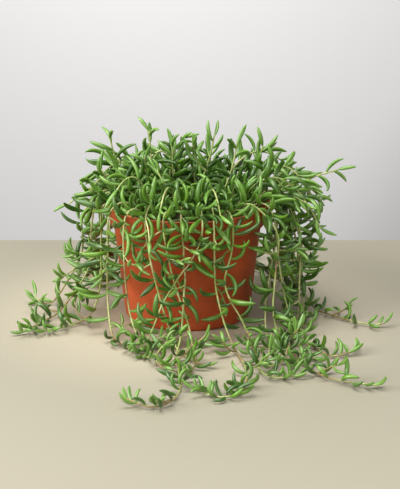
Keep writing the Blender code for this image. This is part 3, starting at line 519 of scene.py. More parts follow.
class Obstacles:
    """What a leaf has to stay clear of: the stems, the leaves already placed, the pot, the soil, the floor."""

    def __init__(self, routes: list[np.ndarray], rule: LeafRule) -> None:
        """Starts from the stems' routes alone."""
        self.rule = rule
        self.start = np.zeros((0, 3))
        self.run = np.zeros((0, 3))
        self.owner = np.zeros(0, int)
        self.leaves = np.zeros((0, 4))
        self.stems = 0
        for route in routes:
            self.add_stem(route)

    def add_stem(self, route: np.ndarray) -> int:
        """Adds a stem and returns its number."""
        self.start = np.concatenate([self.start, route[:-1]])
        self.run = np.concatenate([self.run, np.diff(route, axis=0)])
        self.owner = np.concatenate([self.owner, np.full(len(route) - 1, self.stems)])
        self.stems += 1
        return self.stems - 1

    def keep(self, points: np.ndarray, radii: np.ndarray) -> None:
        """Adds a placed leaf, without its root."""
        self.leaves = np.concatenate([self.leaves, np.column_stack([points, radii])[1:]])

    def stem_gap(self, points: np.ndarray, radii: np.ndarray, own: tuple[int, ...]) -> float:
        """The least gap between the points and the stems, its own near the root left out."""
        middle = points[len(points) // 2]
        near = np.linalg.norm(self.start - middle, axis=1) < 0.030
        start, run = self.start[near], self.run[near]
        if not len(start):
            return 1.0
        reach = points[:, None] - start[None]
        share = np.clip((reach * run[None]).sum(axis=2) / (run ** 2).sum(axis=1)[None], 0.0, 1.0)
        gap = np.linalg.norm(reach - share[..., None] * run[None], axis=2) - radii[:, None] - STEMS.radius
        near_root = np.arange(len(points)) < self.rule.samples_at_root
        gap[near_root[:, None] & np.isin(self.owner[near], own)[None]] = 1.0
        return float(gap.min())

    def leaf_gap(self, points: np.ndarray, radii: np.ndarray) -> float:
        """The least gap between the points and the leaves already placed."""
        middle = points[len(points) // 2]
        near = np.linalg.norm(self.leaves[:, :3] - middle, axis=1) < 0.030
        leaves = self.leaves[near]
        if not len(leaves):
            return 1.0
        apart = np.linalg.norm(points[:, None] - leaves[None, :, :3], axis=2)
        return float((apart - radii[:, None] - leaves[None, :, 3]).min())

    @staticmethod
    def pot_gap(points: np.ndarray, radii: np.ndarray) -> float:
        """The least gap between the points and the pot, the soil or the floor."""
        least = 1.0
        for (x, y, z), radius in zip(points, radii):
            out = math.hypot(x, y)
            wall = POT.outer_radius(z)
            if z < POT.height:
                gap = max(out - wall, wall - POT.wall - out)
            else:
                beside = max(out - POT.rim_radius, POT.rim_radius - POT.wall - out, 0.0)
                gap = math.hypot(beside, z - POT.height)
            if out < wall:
                gap = min(gap, z - POT.soil_top)
            least = min(least, gap - radius, z - radius)
        return least

    def clear(self, points: np.ndarray, radii: np.ndarray, own: tuple[int, ...], gap: float) -> bool:
        """Whether a leaf or shoot keeps a gap to everything.

        Args:
            points: Places along it, the root first.
            radii: Its radius at each of them.
            own: The numbers of the stems that it grows on.
            gap: The gap that it has to keep.

        Returns:
            True if it does.
        """
        beyond, thick = points[1:], radii[1:]
        return (self.pot_gap(beyond, thick) > gap
                and self.stem_gap(beyond, thick, own) > gap
                and self.leaf_gap(beyond, thick) > gap)


STEMS = StemRule()
LEAVES = LeafRule()


@dataclass
class Growth:
    """One stem with its leaves and side shoots.

    Attributes:
        route: Points along its middle line.
        number: Its number among the obstacles.
        leaves: Its leaves.
        shoots: Its side shoots.
    """

    route: np.ndarray
    number: int
    leaves: list[Leaf] = field(default_factory=list)
    shoots: list["Growth"] = field(default_factory=list)


@dataclass
class Plant:
    """The whole plant as middle lines and leaves: the solids' own, then what is added between them.

    Attributes:
        seed: Starts the draws of the solids' own leaves.
        fill_seed: Starts the draws of everything added.
        shoot_gap: The gap that an added side shoot keeps.
        fill_gap: The gap that an added leaf keeps.
        fill_scale: The spacing of added leaves as a share of the rule's, in the mound and below.
        open_tip: The stretch at the tip of a stem of the mound that gets nothing added.
        shoot_spacing: The stretch between two side shoots, in the mound, on the pot and on the surface.
        shoot_lengths: How long side shoots are, in the same three places.
        shoot_scale: The spacing of a side shoot's leaves as a share of the rule's, in the same three places.
        fill_lengths: How long an added leaf is, as a share of the rule's lengths.
    """

    seed: int = 7
    fill_seed: int = 23
    shoot_gap: float = 0.0004
    fill_gap: float = 0.00015
    fill_scale: Span = (0.61, 0.46)
    open_tip: float = 0.033
    shoot_spacing: tuple[Span, Span, Span] = ((0.026, 0.042), (0.050, 0.090), (0.034, 0.052))
    shoot_lengths: tuple[Span, Span, Span] = ((0.024, 0.042), (0.014, 0.026), (0.018, 0.034))
    shoot_scale: Place = (0.74, 0.44, 0.41)
    fill_lengths: Span = (0.86, 1.04)

    def grow(self) -> list[Growth]:
        """Works out every stem, leaf and side shoot.

        Returns:
            One growth for each stem of the solids, in their order.
        """
        routes = [STEMS.trailing(*stem) for stem in TRAILING] + [STEMS.upright(*stem) for stem in UPRIGHT]
        routes = STEMS.bent_clear(routes)
        self.obstacles = Obstacles(routes, LEAVES)
        growths = [Growth(route, number) for number, route in enumerate(routes)]
        self.place_solid_leaves(growths)
        draw = random.Random(self.fill_seed)
        for growth in growths:
            self.add_shoots(growth, draw)
        for growth in growths:
            self.fill(growth, draw)
        return growths

    def place_leaf(self, growth: Growth, at: float, age: float, turn: float, length: float,
                   draw: random.Random, own: tuple[int, ...], gap: float) -> None:
        """Adds one leaf to a stem, in the first of the tried positions that is clear.

        Args:
            growth: The stem.
            at: Where along the route's points it grows.
            age: Its age.
            turn: Its angle about the stem.
            length: Its length.
            draw: Draws the angle to the stem, the bend and what it turns towards.
            own: The numbers of the stems that it may touch at its root.
            gap: The gap that it keeps to everything else.
        """
        route = growth.route
        low = min(int(at), len(route) - 2)
        root = Vector(route[low] + (route[low + 1] - route[low]) * (at - low))
        full_opening = LEAVES.opening_high if root.z > LEAVES.high else LEAVES.opening_low
        opening = grown(LEAVES.young_opening, full_opening, age) * draw.uniform(*LEAVES.opening_spread)
        lying = root.z < LEAVES.floor
        bend = draw.uniform(*(LEAVES.bends_on_floor if lying else LEAVES.bends))
        bend *= grown(LEAVES.young_bend, 1.0, age)
        length *= LEAVES.length_on_floor if lying else 1.0
        drift = LEAVES.drift(root.z, draw)
        along = Vector(route[low + 1] - route[max(low - 1, 0)]).normalized()
        steps = [k / (LEAVES.samples - 1) for k in range(LEAVES.samples)]
        for extra, share in TRIES:
            heading, lift = LEAVES.frame(along, turn + math.radians(extra), opening, drift)
            leaf = Leaf(root, heading, lift, length * share, bend, age)
            points = np.array([leaf.at(step) for step in steps])
            radii = np.array([LEAVES.radius(step, leaf.length) for step in steps])
            if self.obstacles.clear(points, radii, own, gap):
                self.obstacles.keep(points, radii)
                growth.leaves.append(leaf)
                return

    def place_solid_leaves(self, growths: list[Growth]) -> None:
        """Places the leaves that the solids have, with the same draws."""
        draw = random.Random(self.seed)
        for growth in growths:
            turn = draw.uniform(0.0, 2 * math.pi)
            for at, age in LEAVES.places(growth.route, bare=LEAVES.first + STEMS.planted_depth):
                turn += LEAVES.turn
                length = draw.uniform(*LEAVES.lengths) * grown(LEAVES.young_length, 1.0, age)
                self.place_leaf(growth, at, age, turn, length, draw, (growth.number,), LEAVES.clearance)

    @staticmethod
    def in_mound(growth: Growth) -> bool:
        """Whether a stem belongs to the mound rather than trailing."""
        return growth.number >= len(TRAILING)

    def add_shoots(self, growth: Growth, draw: random.Random) -> None:
        """Adds the side shoots of a stem, each a short arc with leaves of its own."""
        route = growth.route
        run = float(np.linalg.norm(np.diff(route, axis=0), axis=1).mean())
        along_stem = STEMS.planted_depth + draw.uniform(0.006, 0.014)
        turn = draw.uniform(0.0, 2 * math.pi)
        last = run * (len(route) - 1) - self.open_tip
        while along_stem < last:
            low = int(along_stem / run)
            root = Vector(route[low])
            zone = 0 if root.z > LEAVES.high else 1 if root.z > LEAVES.floor else 2
            along = Vector(route[low + 1] - route[low]).normalized()
            along_stem += draw.uniform(*self.shoot_spacing[zone]) * crowding(route[low])
            turn += LEAVES.turn
            opening = math.radians(draw.uniform(40, 75))
            drift = LEAVES.drift(root.z, draw)
            length = draw.uniform(*self.shoot_lengths[zone])
            for extra, share in TRIES:
                heading, lift = LEAVES.frame(along, turn + math.radians(extra), opening, drift)
                arc = Leaf(root, heading, lift, length * share, math.radians(55), 1.0)
                points = np.array([arc.at(k / 8) for k in range(9)])
                radii = np.full(9, STEMS.tip_radius)
                if self.obstacles.clear(points, radii, (growth.number,), self.shoot_gap):
                    shoot = Growth(points, self.obstacles.add_stem(points))
                    growth.shoots.append(shoot)
                    self.add_leaves(shoot, self.shoot_scale[zone], (shoot.number, growth.number), draw, 0.006)
                    break

    def add_leaves(self, growth: Growth, scale: float, own: tuple[int, ...], draw: random.Random,
                   bare: float, back: float = 0.0) -> None:
        """Adds leaves to a stem or side shoot where they fit.

        Args:
            growth: The stem.
            scale: Their spacing as a share of the rule's.
            own: The numbers of the stems that they may touch at their roots.
            draw: Draws how each leaf stands.
            bare: The stretch at the root without leaves.
            back: The stretch at the tip without leaves.
        """
        turn = draw.uniform(0.0, 2 * math.pi)
        for at, age in LEAVES.places(growth.route, scale, bare, back):
            turn += LEAVES.turn
            length = draw.uniform(*LEAVES.lengths) * draw.uniform(*self.fill_lengths)
            length *= grown(LEAVES.young_length * 0.8, 1.0, age)
            self.place_leaf(growth, at, age, turn, length, draw, own, self.fill_gap)

    def fill(self, growth: Growth, draw: random.Random) -> None:
        """Adds leaves between those that a stem already has."""
        mound = self.in_mound(growth)
        self.add_leaves(growth, self.fill_scale[not mound], (growth.number,), draw,
                        STEMS.planted_depth + 0.003, self.open_tip if mound else 0.0)


class Nodes:
    """A short way to build a material's node tree."""

    def __init__(self, name: str) -> None:
        """Makes a material with a Principled shader."""
        self.material = bpy.data.materials.new(name)
        self.material.use_nodes = True
        self.tree = self.material.node_tree
        self.shader = self.tree.nodes["Principled BSDF"]

    def add(self, kind: str, inputs: dict | None = None, **settings: object) -> bpy.types.Node:
        """Adds a node.

        Args:
            kind: The node's type name.
            inputs: Values or output sockets for its inputs, by name or number.
            **settings: The node's own properties.

        Returns:
            The node.
        """
        node = self.tree.nodes.new(kind)
        for name, value in settings.items():
            setattr(node, name, value)
        for name, value in (inputs or {}).items():
            self.feed(node.inputs[name], value)
        return node

    def feed(self, socket: bpy.types.NodeSocket, value: object) -> None:
        """Links an output to a socket, or sets the socket's own value."""
        if isinstance(value, bpy.types.NodeSocket):
            self.tree.links.new(value, socket)
        else:
            socket.default_value = value

    def math(self, operation: str, first: object, second: object = 0.0, clamp: bool = False) -> object:
        """The output of a Math node."""
        node = self.add("ShaderNodeMath", {0: first, 1: second}, operation=operation, use_clamp=clamp)
        return node.outputs[0]

    def mix(self, share: object, first: object, second: object) -> object:
        """The output of a colour Mix node."""
        node = self.add("ShaderNodeMix", data_type="RGBA")
        self.feed(node.inputs[0], share)
        for socket, value in ((node.inputs[6], first), (node.inputs[7], second)):
            self.feed(socket, (*value, 1.0) if isinstance(value, tuple) else value)
        return node.outputs[2]

    def ramp(self, value: object, low: float, high: float, to_low: float = 0.0, to_high: float = 1.0) -> object:
        """A value mapped from one range to another, smoothly and held at the ends."""
        node = self.add("ShaderNodeMapRange", {0: value, 1: low, 2: high, 3: to_low, 4: to_high},
                        interpolation_type="SMOOTHSTEP")
        return node.outputs[0]

    def noise(self, scale: float, detail: float = 3.0, stretch: Place = (1.0, 1.0, 1.0)) -> object:
        """The output of a Noise texture in object coordinates."""
        where = self.add("ShaderNodeTexCoord").outputs["Object"]
        turned = self.add("ShaderNodeMapping", {"Vector": where, "Scale": stretch})
        return self.add("ShaderNodeTexNoise", {"Vector": turned.outputs[0], "Scale": scale,
                                               "Detail": detail}).outputs[0]

    def bump(self, height: object, strength: float, distance: float) -> None:
        """Feeds a bump into the shader's normal."""
        node = self.add("ShaderNodeBump", {"Height": height, "Strength": strength, "Distance": distance})
        self.tree.links.new(node.outputs[0], self.shader.inputs["Normal"])


@dataclass(frozen=True)
class PotPlastic:
    """Moulded terracotta-coloured plastic, faintly mottled, scuffed and dusted, with painted shade under the band step
    and a painted highlight along the lip.
    """

    name: str = "moulded_terracotta_plastic"
    base: Colour = (0.52, 0.108, 0.034)
    pale: Colour = (0.60, 0.150, 0.055)
    dust: Colour = (0.36, 0.18, 0.10)
    # Colour of the real stains and also of the painted shade under the band step
    stain_and_shade: Colour = (0.20, 0.075, 0.028)
    # Colour of the painted highlight along the top of the lip
    lip_highlight: Colour = (0.66, 0.23, 0.10)
    roughness: float = 0.48
    size: PotSize = POT

    def material(self) -> bpy.types.Material:
        """Builds the finish.

        Returns:
            The material.
        """
        nodes = Nodes(self.name)
        mottle = nodes.ramp(nodes.noise(38.0, 4.0), 0.42, 0.72)
        scuffs = nodes.ramp(nodes.noise(170.0, 5.0, (1.0, 1.0, 0.25)), 0.60, 0.78)
        colour = nodes.mix(nodes.math("MULTIPLY", mottle, 0.35), self.base, self.pale)
        colour = nodes.mix(nodes.math("MULTIPLY", scuffs, 0.22), colour, self.dust)
        stains = nodes.ramp(nodes.noise(26.0, 6.0, (1.0, 1.0, 0.55)), 0.52, 0.74)
        colour = nodes.mix(nodes.math("MULTIPLY", stains, 0.42), colour, self.stain_and_shade)
        where = nodes.add("ShaderNodeTexCoord").outputs["Object"]
        height = nodes.add("ShaderNodeSeparateXYZ", {0: where}).outputs["Z"]
        under = self.size.band_bottom - self.size.band_step
        # Painted shade: a dark line just under the band step, where its shadow falls
        painted_shade_under_band = nodes.math("MULTIPLY", nodes.ramp(height, under - 0.0026, under),
                            nodes.ramp(height, under + 0.0002, under + 0.0006, 1.0, 0.0))
        colour = nodes.mix(nodes.math("MULTIPLY", painted_shade_under_band, 0.65), colour, self.stain_and_shade)
        # Painted highlight: a paler line along the top of the lip
        lip = nodes.ramp(height, self.size.height - 0.0022, self.size.height - 0.0010)
        colour = nodes.mix(nodes.math("MULTIPLY", lip, 0.60), colour, self.lip_highlight)
        nodes.feed(nodes.shader.inputs["Base Color"], colour)
        nodes.feed(nodes.shader.inputs["Roughness"],
                   nodes.math("ADD", nodes.math("MULTIPLY", scuffs, 0.16), self.roughness))
        nodes.shader.inputs["Specular IOR Level"].default_value = 0.34
        nodes.bump(nodes.noise(900.0, 2.0), 0.10, 0.0004)
        return nodes.material


@dataclass(frozen=True)
class SoilMix:
    """Moist dark potting mix."""

    name: str = "moist_potting_mix"
    dark: Colour = (0.018, 0.012, 0.008)
    light: Colour = (0.075, 0.050, 0.032)
    roughness: float = 0.93

    def material(self) -> bpy.types.Material:
        """Builds the finish.

        Returns:
            The material.
        """
        nodes = Nodes(self.name)
        grain = nodes.noise(420.0, 6.0)
        nodes.feed(nodes.shader.inputs["Base Color"],
                   nodes.mix(nodes.ramp(grain, 0.40, 0.68), self.dark, self.light))
        nodes.shader.inputs["Roughness"].default_value = self.roughness
        nodes.bump(grain, 0.7, 0.0012)
        return nodes.material


@dataclass(frozen=True)
class LeafSkin:
    """Plump waxy leaf skin: darker with age, with a fine clear line along the hollow side."""

    name: str = "waxy_leaf_skin"
    old: Colour = (0.032, 0.102, 0.004)
    grown: Colour = (0.136, 0.290, 0.020)
    young: Colour = (0.180, 0.345, 0.062)
    line: Colour = (0.028, 0.090, 0.008)
    bloom: Colour = (0.360, 0.500, 0.200)
    roughness: float = 0.40

    def material(self) -> bpy.types.Material:
        """Builds the finish from each point's share along the leaf, place round it, chance and age.

        Returns:
            The material.
        """
        nodes = Nodes(self.name)
        data = nodes.add("ShaderNodeAttribute", attribute_name="leaf_data")
        parts = nodes.add("ShaderNodeSeparateColor", {0: data.outputs["Color"]})
        share, around, chance = parts.outputs[0], parts.outputs[1], parts.outputs[2]
        age = data.outputs["Alpha"]
        colour = nodes.mix(nodes.ramp(chance, 0.1, 0.95), self.old, self.grown)
        colour = nodes.mix(nodes.ramp(age, 0.1, 1.0, 0.85, 0.0), colour, self.young)
        patch = nodes.ramp(nodes.noise(120.0, 3.0), 0.35, 0.75)
        colour = nodes.mix(nodes.math("MULTIPLY", patch, 0.28), colour, self.grown)
        root = nodes.ramp(share, 0.0, 0.22, 0.45, 0.0)
        colour = nodes.mix(root, colour, self.young)
        beside = nodes.math("ABSOLUTE", nodes.math("SUBTRACT", around, 0.5))
        line = nodes.ramp(beside, 0.36, 0.48)
        inside = nodes.math("MULTIPLY", nodes.ramp(share, 0.10, 0.25), nodes.ramp(share, 0.80, 0.95, 1.0, 0.0))
        colour = nodes.mix(nodes.math("MULTIPLY", nodes.math("MULTIPLY", line, inside), 0.65), colour, self.line)
        bloom = nodes.math("MULTIPLY", nodes.ramp(nodes.noise(60.0, 4.0), 0.45, 0.80), 0.16)
        colour = nodes.mix(bloom, colour, self.bloom)
        nodes.feed(nodes.shader.inputs["Base Color"], colour)
        nodes.feed(nodes.shader.inputs["Roughness"],
                   nodes.math("ADD", nodes.math("MULTIPLY", patch, 0.12), self.roughness))
        nodes.shader.inputs["Specular IOR Level"].default_value = 0.55
        nodes.shader.inputs["Coat Weight"].default_value = 0.85
        nodes.shader.inputs["Coat Roughness"].default_value = 0.33
        nodes.shader.inputs["Subsurface Weight"].default_value = 0.14
        nodes.shader.inputs["Subsurface Radius"].default_value = (0.0016, 0.0030, 0.0006)
        nodes.shader.inputs["Sheen Weight"].default_value = 0.04
        nodes.shader.inputs["Sheen Roughness"].default_value = 0.45
        nodes.bump(nodes.noise(1500.0, 2.0), 0.08, 0.0003)
        return nodes.material


@dataclass(frozen=True)
class StemSkin:
    """Pale green stem skin that turns tan where the stem is old."""

    name: str = "pale_stem_skin"
    green: Colour = (0.300, 0.375, 0.115)
    pale: Colour = (0.545, 0.565, 0.270)
    tan: Colour = (0.250, 0.140, 0.065)
    roughness: float = 0.52

    def material(self) -> bpy.types.Material:
        """Builds the finish from each point's share along the stem.

        Returns:
            The material.
        """
        nodes = Nodes(self.name)
        data = nodes.add("ShaderNodeAttribute", attribute_name="leaf_data")
        parts = nodes.add("ShaderNodeSeparateColor", {0: data.outputs["Color"]})
        share, chance = parts.outputs[0], parts.outputs[2]
        colour = nodes.mix(nodes.ramp(nodes.noise(45.0, 3.0), 0.35, 0.65), self.green, self.pale)
        old = nodes.math("MULTIPLY", nodes.ramp(share, 0.05, 0.45, 1.0, 0.0), nodes.ramp(chance, 0.3, 0.9))
        colour = nodes.mix(nodes.math("MULTIPLY", old, 0.75), colour, self.tan)
        where = nodes.add("ShaderNodeTexCoord").outputs["Object"]
        height = nodes.add("ShaderNodeSeparateXYZ", {0: where}).outputs["Z"]
        lying = nodes.ramp(height, 0.004, 0.022, 0.16, 0.0)
        dry = nodes.ramp(nodes.math("ADD", nodes.noise(22.0, 4.0), lying), 0.57, 0.70)
        colour = nodes.mix(nodes.math("MULTIPLY", dry, 0.75), colour, self.tan)
        nodes.feed(nodes.shader.inputs["Base Color"], colour)
        nodes.shader.inputs["Roughness"].default_value = self.roughness
        nodes.shader.inputs["Subsurface Weight"].default_value = 0.10
        nodes.shader.inputs["Subsurface Radius"].default_value = (0.0010, 0.0010, 0.0004)
        nodes.bump(nodes.noise(700.0, 3.0, (1.0, 1.0, 0.3)), 0.25, 0.0003)
        return nodes.material


@dataclass(frozen=True)
class StagePaint:
    """A plain matt surface of the studio, with painted shade that deepens softly along a direction.

    Attributes:
        name: The material's name.
        colour: Its colour where it is not darkened.
        roughness: Its roughness.
        shade: What the colour is multiplied by at the dark end.
        way: The direction in which it darkens.
        span: How far along that direction the darkening starts and ends.
        near: The colour of a painted pool of bounced light close to the plant, or None for the plain colour.
        reach: How far from the plant's middle that colour starts and ends to fade.
    """

    name: str
    colour: Colour
    roughness: float
    shade: float
    way: Place
    span: Span
    near: Colour | None = None
    reach: Span = (0.06, 0.25)

    def material(self) -> bpy.types.Material:
        """Builds the finish.

        Returns:
            The material.
        """
        nodes = Nodes(self.name)
        where = nodes.add("ShaderNodeTexCoord").outputs["Object"]
        # Painted shade: the colour darkens along the direction over the span
        along = nodes.add("ShaderNodeVectorMath", {0: where, 1: self.way}, operation="DOT_PRODUCT")
        dark = tuple(value * self.shade for value in self.colour)
        colour = nodes.mix(nodes.ramp(along.outputs["Value"], *self.span), self.colour, dark)
        # Painted pool of bounced light: a paler colour close to the plant's middle
        if self.near:
            away = nodes.add("ShaderNodeVectorMath", {0: where}, operation="LENGTH").outputs["Value"]
            colour = nodes.mix(nodes.ramp(away, *self.reach, 1.0, 0.0), colour, self.near)
        nodes.feed(nodes.shader.inputs["Base Color"], colour)
        nodes.shader.inputs["Roughness"].default_value = self.roughness
        return nodes.material


def new_piece(name: str, mesh: bpy.types.Mesh, materials: list[bpy.types.Material]) -> bpy.types.Object:
    """Links a mesh into the scene as a smooth-shaded piece with its materials."""
    for material in materials:
        mesh.materials.append(material)
    mesh.shade_smooth()
    piece = bpy.data.objects.new(name, mesh)
    bpy.context.scene.collection.objects.link(piece)
    return piece


def settle(piece: bpy.types.Object, slot: str, *nodes: str) -> None:
    """Gives a piece its body and hides the solids that it stands for."""
    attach(piece, BODY)
    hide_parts(*nodes)
    LOG.info("%s: %d faces", piece.name, len(piece.data.polygons))


def turned(outline: list[tuple[float, float]], sides: int) -> bmesh.types.BMesh:
    """A closed solid turned about Z.

    Args:
        outline: Its (radius, height) points, which start and end on the axis.
        sides: The number of steps round.

    Returns:
        The shape.
    """
    shape = bmesh.new()
    rings = []
    for radius, height in outline:
        if radius == 0.0:
            rings.append([shape.verts.new((0.0, 0.0, height))])
            continue
        angles = (2 * math.pi * k / sides for k in range(sides))
        rings.append([shape.verts.new((radius * math.cos(a), radius * math.sin(a), height)) for a in angles])
    for low, high in zip(rings, rings[1:]):
        for k in range(sides):
            corners = [low[k % len(low)], low[(k + 1) % sides % len(low)],
                       high[(k + 1) % sides % len(high)], high[k % len(high)]]
            shape.faces.new(list(dict.fromkeys(corners)))
    bmesh.ops.recalc_face_normals(shape, faces=shape.faces)
    return shape


def mesh_of(name: str, shape: bmesh.types.BMesh) -> bpy.types.Mesh:
    """A mesh of this name from a bmesh, which is freed."""
    mesh = bpy.data.meshes.new(name)
    shape.to_mesh(mesh)
    shape.free()
    return mesh


@dataclass
class NurseryPot:
    """The moulded pot, with a rolled lip, a stepped band, a rounded foot and drain slots."""

    size: PotSize = POT
    finish: PotPlastic = PotPlastic()
    sides: int = 144

    def outline(self) -> list[tuple[float, float]]:
        """The turned outline, from the middle of the underside round to the middle of the floor inside."""
        size = self.size
        lip = size.lip_rounding
        foot = [(size.foot_radius + size.foot_rounding * math.sin(a), size.foot_rounding * (1 - math.cos(a)))
                for a in np.linspace(0.0, math.radians(80), 7)]
        under = size.band_bottom - size.band_step
        inner = under - size.wall * 0.5
        soft = 0.00025
        band_low = size.outer_radius(size.band_bottom)
        top = size.height
        lip_middle = size.rim_radius - lip
        lip_ring = [(lip_middle + lip * math.cos(a), top - lip + lip * math.sin(a))
                    for a in np.linspace(-0.5, math.pi, 10)]
        return [
            (0.0, 0.0),
            *foot,
            (size.outer_radius(0.012), 0.012),
            (size.outer_radius(0.045), 0.045),
            (size.outer_radius(under - 0.006), under - 0.006),
            (size.outer_radius(under - soft), under - soft),
            (size.outer_radius(under) + soft, under),
            (band_low - 2 * soft, size.band_bottom - 2 * soft),
            (band_low - soft / 2, size.band_bottom - soft),
            (band_low, size.band_bottom + soft),
            (size.outer_radius(0.097), 0.097),
            (size.outer_radius(top - 0.0045), top - 0.0045),
            (size.outer_radius(top - 0.0026) - 0.0003, top - 0.0026),
            *lip_ring,
            (size.outer_radius(top - 0.0060) - size.wall, top - 0.0060),
            (band_low - size.wall, size.band_bottom + size.wall * 0.5),
            (size.outer_radius(inner) - size.wall, inner),
            (size.outer_radius(0.010) - size.wall, 0.010),
            (size.outer_radius(size.floor) - size.wall - 0.0012, size.floor),
            (0.0, size.floor),
        ]

    def build(self) -> None:
        """Makes the pot and cuts its drain slots."""
        pot = new_piece("nursery_pot", mesh_of("nursery_pot", turned(self.outline(), self.sides)),
                        [self.finish.material()])
        cutter_shape = bmesh.new()
        for k in range(self.size.drain_slots):
            turn = Matrix.Rotation(self.size.drain_turn + 2 * math.pi * k / self.size.drain_slots, 4, "Z")
            place = turn @ Matrix.Translation((self.size.foot_radius, 0.0, 0.0))
            bmesh.ops.create_cube(cutter_shape, size=1.0, matrix=place @ Matrix.Diagonal((*self.size.drain_size, 1.0)))
        cutter = bpy.data.objects.new("drain_cutter", mesh_of("drain_cutter", cutter_shape))
        bpy.context.scene.collection.objects.link(cutter)
        cut = pot.modifiers.new("drains", "BOOLEAN")
        cut.operation = "DIFFERENCE"
        cut.object = cutter
        bpy.context.view_layer.update()
        made = bpy.data.meshes.new_from_object(pot.evaluated_get(bpy.context.evaluated_depsgraph_get()))
        pot.modifiers.remove(cut)
        pot.data = made
        bpy.data.objects.remove(cutter, do_unlink=True)
        pot.data.set_sharp_from_angle(angle=math.radians(24))
        settle(pot, "pot_plastic", "pot")


@dataclass
class SoilBed:
    """The soil: a lumpy top on a plain body, and loose crumbs."""

    size: PotSize = POT
    finish: SoilMix = SoilMix()
    rings: int = 30
    sides: int = 96
    relief: float = 0.0016
    crumbs: int = 170
    seed: int = 5

    def height(self, x: float, y: float) -> float:
        """The height of the top at a place."""
        lump = noise.noise(Vector((x, y, 0.3)) * 90.0) + 0.5 * noise.noise(Vector((x, y, 1.7)) * 240.0)
        edge = min(1.0, max(0.0, (self.size.outer_radius(self.size.soil_top) - math.hypot(x, y)) / 0.010))
        return self.size.soil_top - 0.0006 + self.relief * lump * edge

    def build(self) -> None:
        """Makes the soil with its crumbs as one piece."""
        size = self.size
        wall = size.wall + 0.0004
        top = size.outer_radius(size.soil_top) - wall
        step = size.band_bottom - size.band_step - size.wall * 0.5
        outline = [(0.0, 0.0028), (size.outer_radius(0.003) - wall - 0.0012, 0.0028),
                   (size.outer_radius(step) - wall, step),
                   (size.outer_radius(size.band_bottom) - wall, size.band_bottom + size.wall * 0.5 + 0.0004)]
        outline += [(top * (1 - k / self.rings), size.soil_top) for k in range(self.rings)] + [(0.0, size.soil_top)]
        shape = turned(outline, self.sides)
        for vert in shape.verts:
            if vert.co.z > size.soil_top - 1e-5:
                vert.co.z = self.height(vert.co.x, vert.co.y)
        draw = random.Random(self.seed)
        for _ in range(self.crumbs):
            out = (top - 0.004) * math.sqrt(draw.random())
            angle = draw.uniform(0.0, 2 * math.pi)
            x, y = out * math.cos(angle), out * math.sin(angle)
            place = Matrix.Translation((x, y, self.height(x, y))) @ Matrix.Rotation(draw.uniform(0, 6.28), 4, "Z")
            grain = Matrix.Diagonal((draw.uniform(0.7, 1.5), draw.uniform(0.7, 1.3), draw.uniform(0.5, 0.9), 1.0))
            bmesh.ops.create_icosphere(shape, subdivisions=1, radius=draw.uniform(0.0007, 0.0017),
                                       matrix=place @ grain)
        soil = new_piece("potting_soil_bed", mesh_of("potting_soil_bed", shape), [self.finish.material()])
        settle(soil, "potting_soil", "soil")


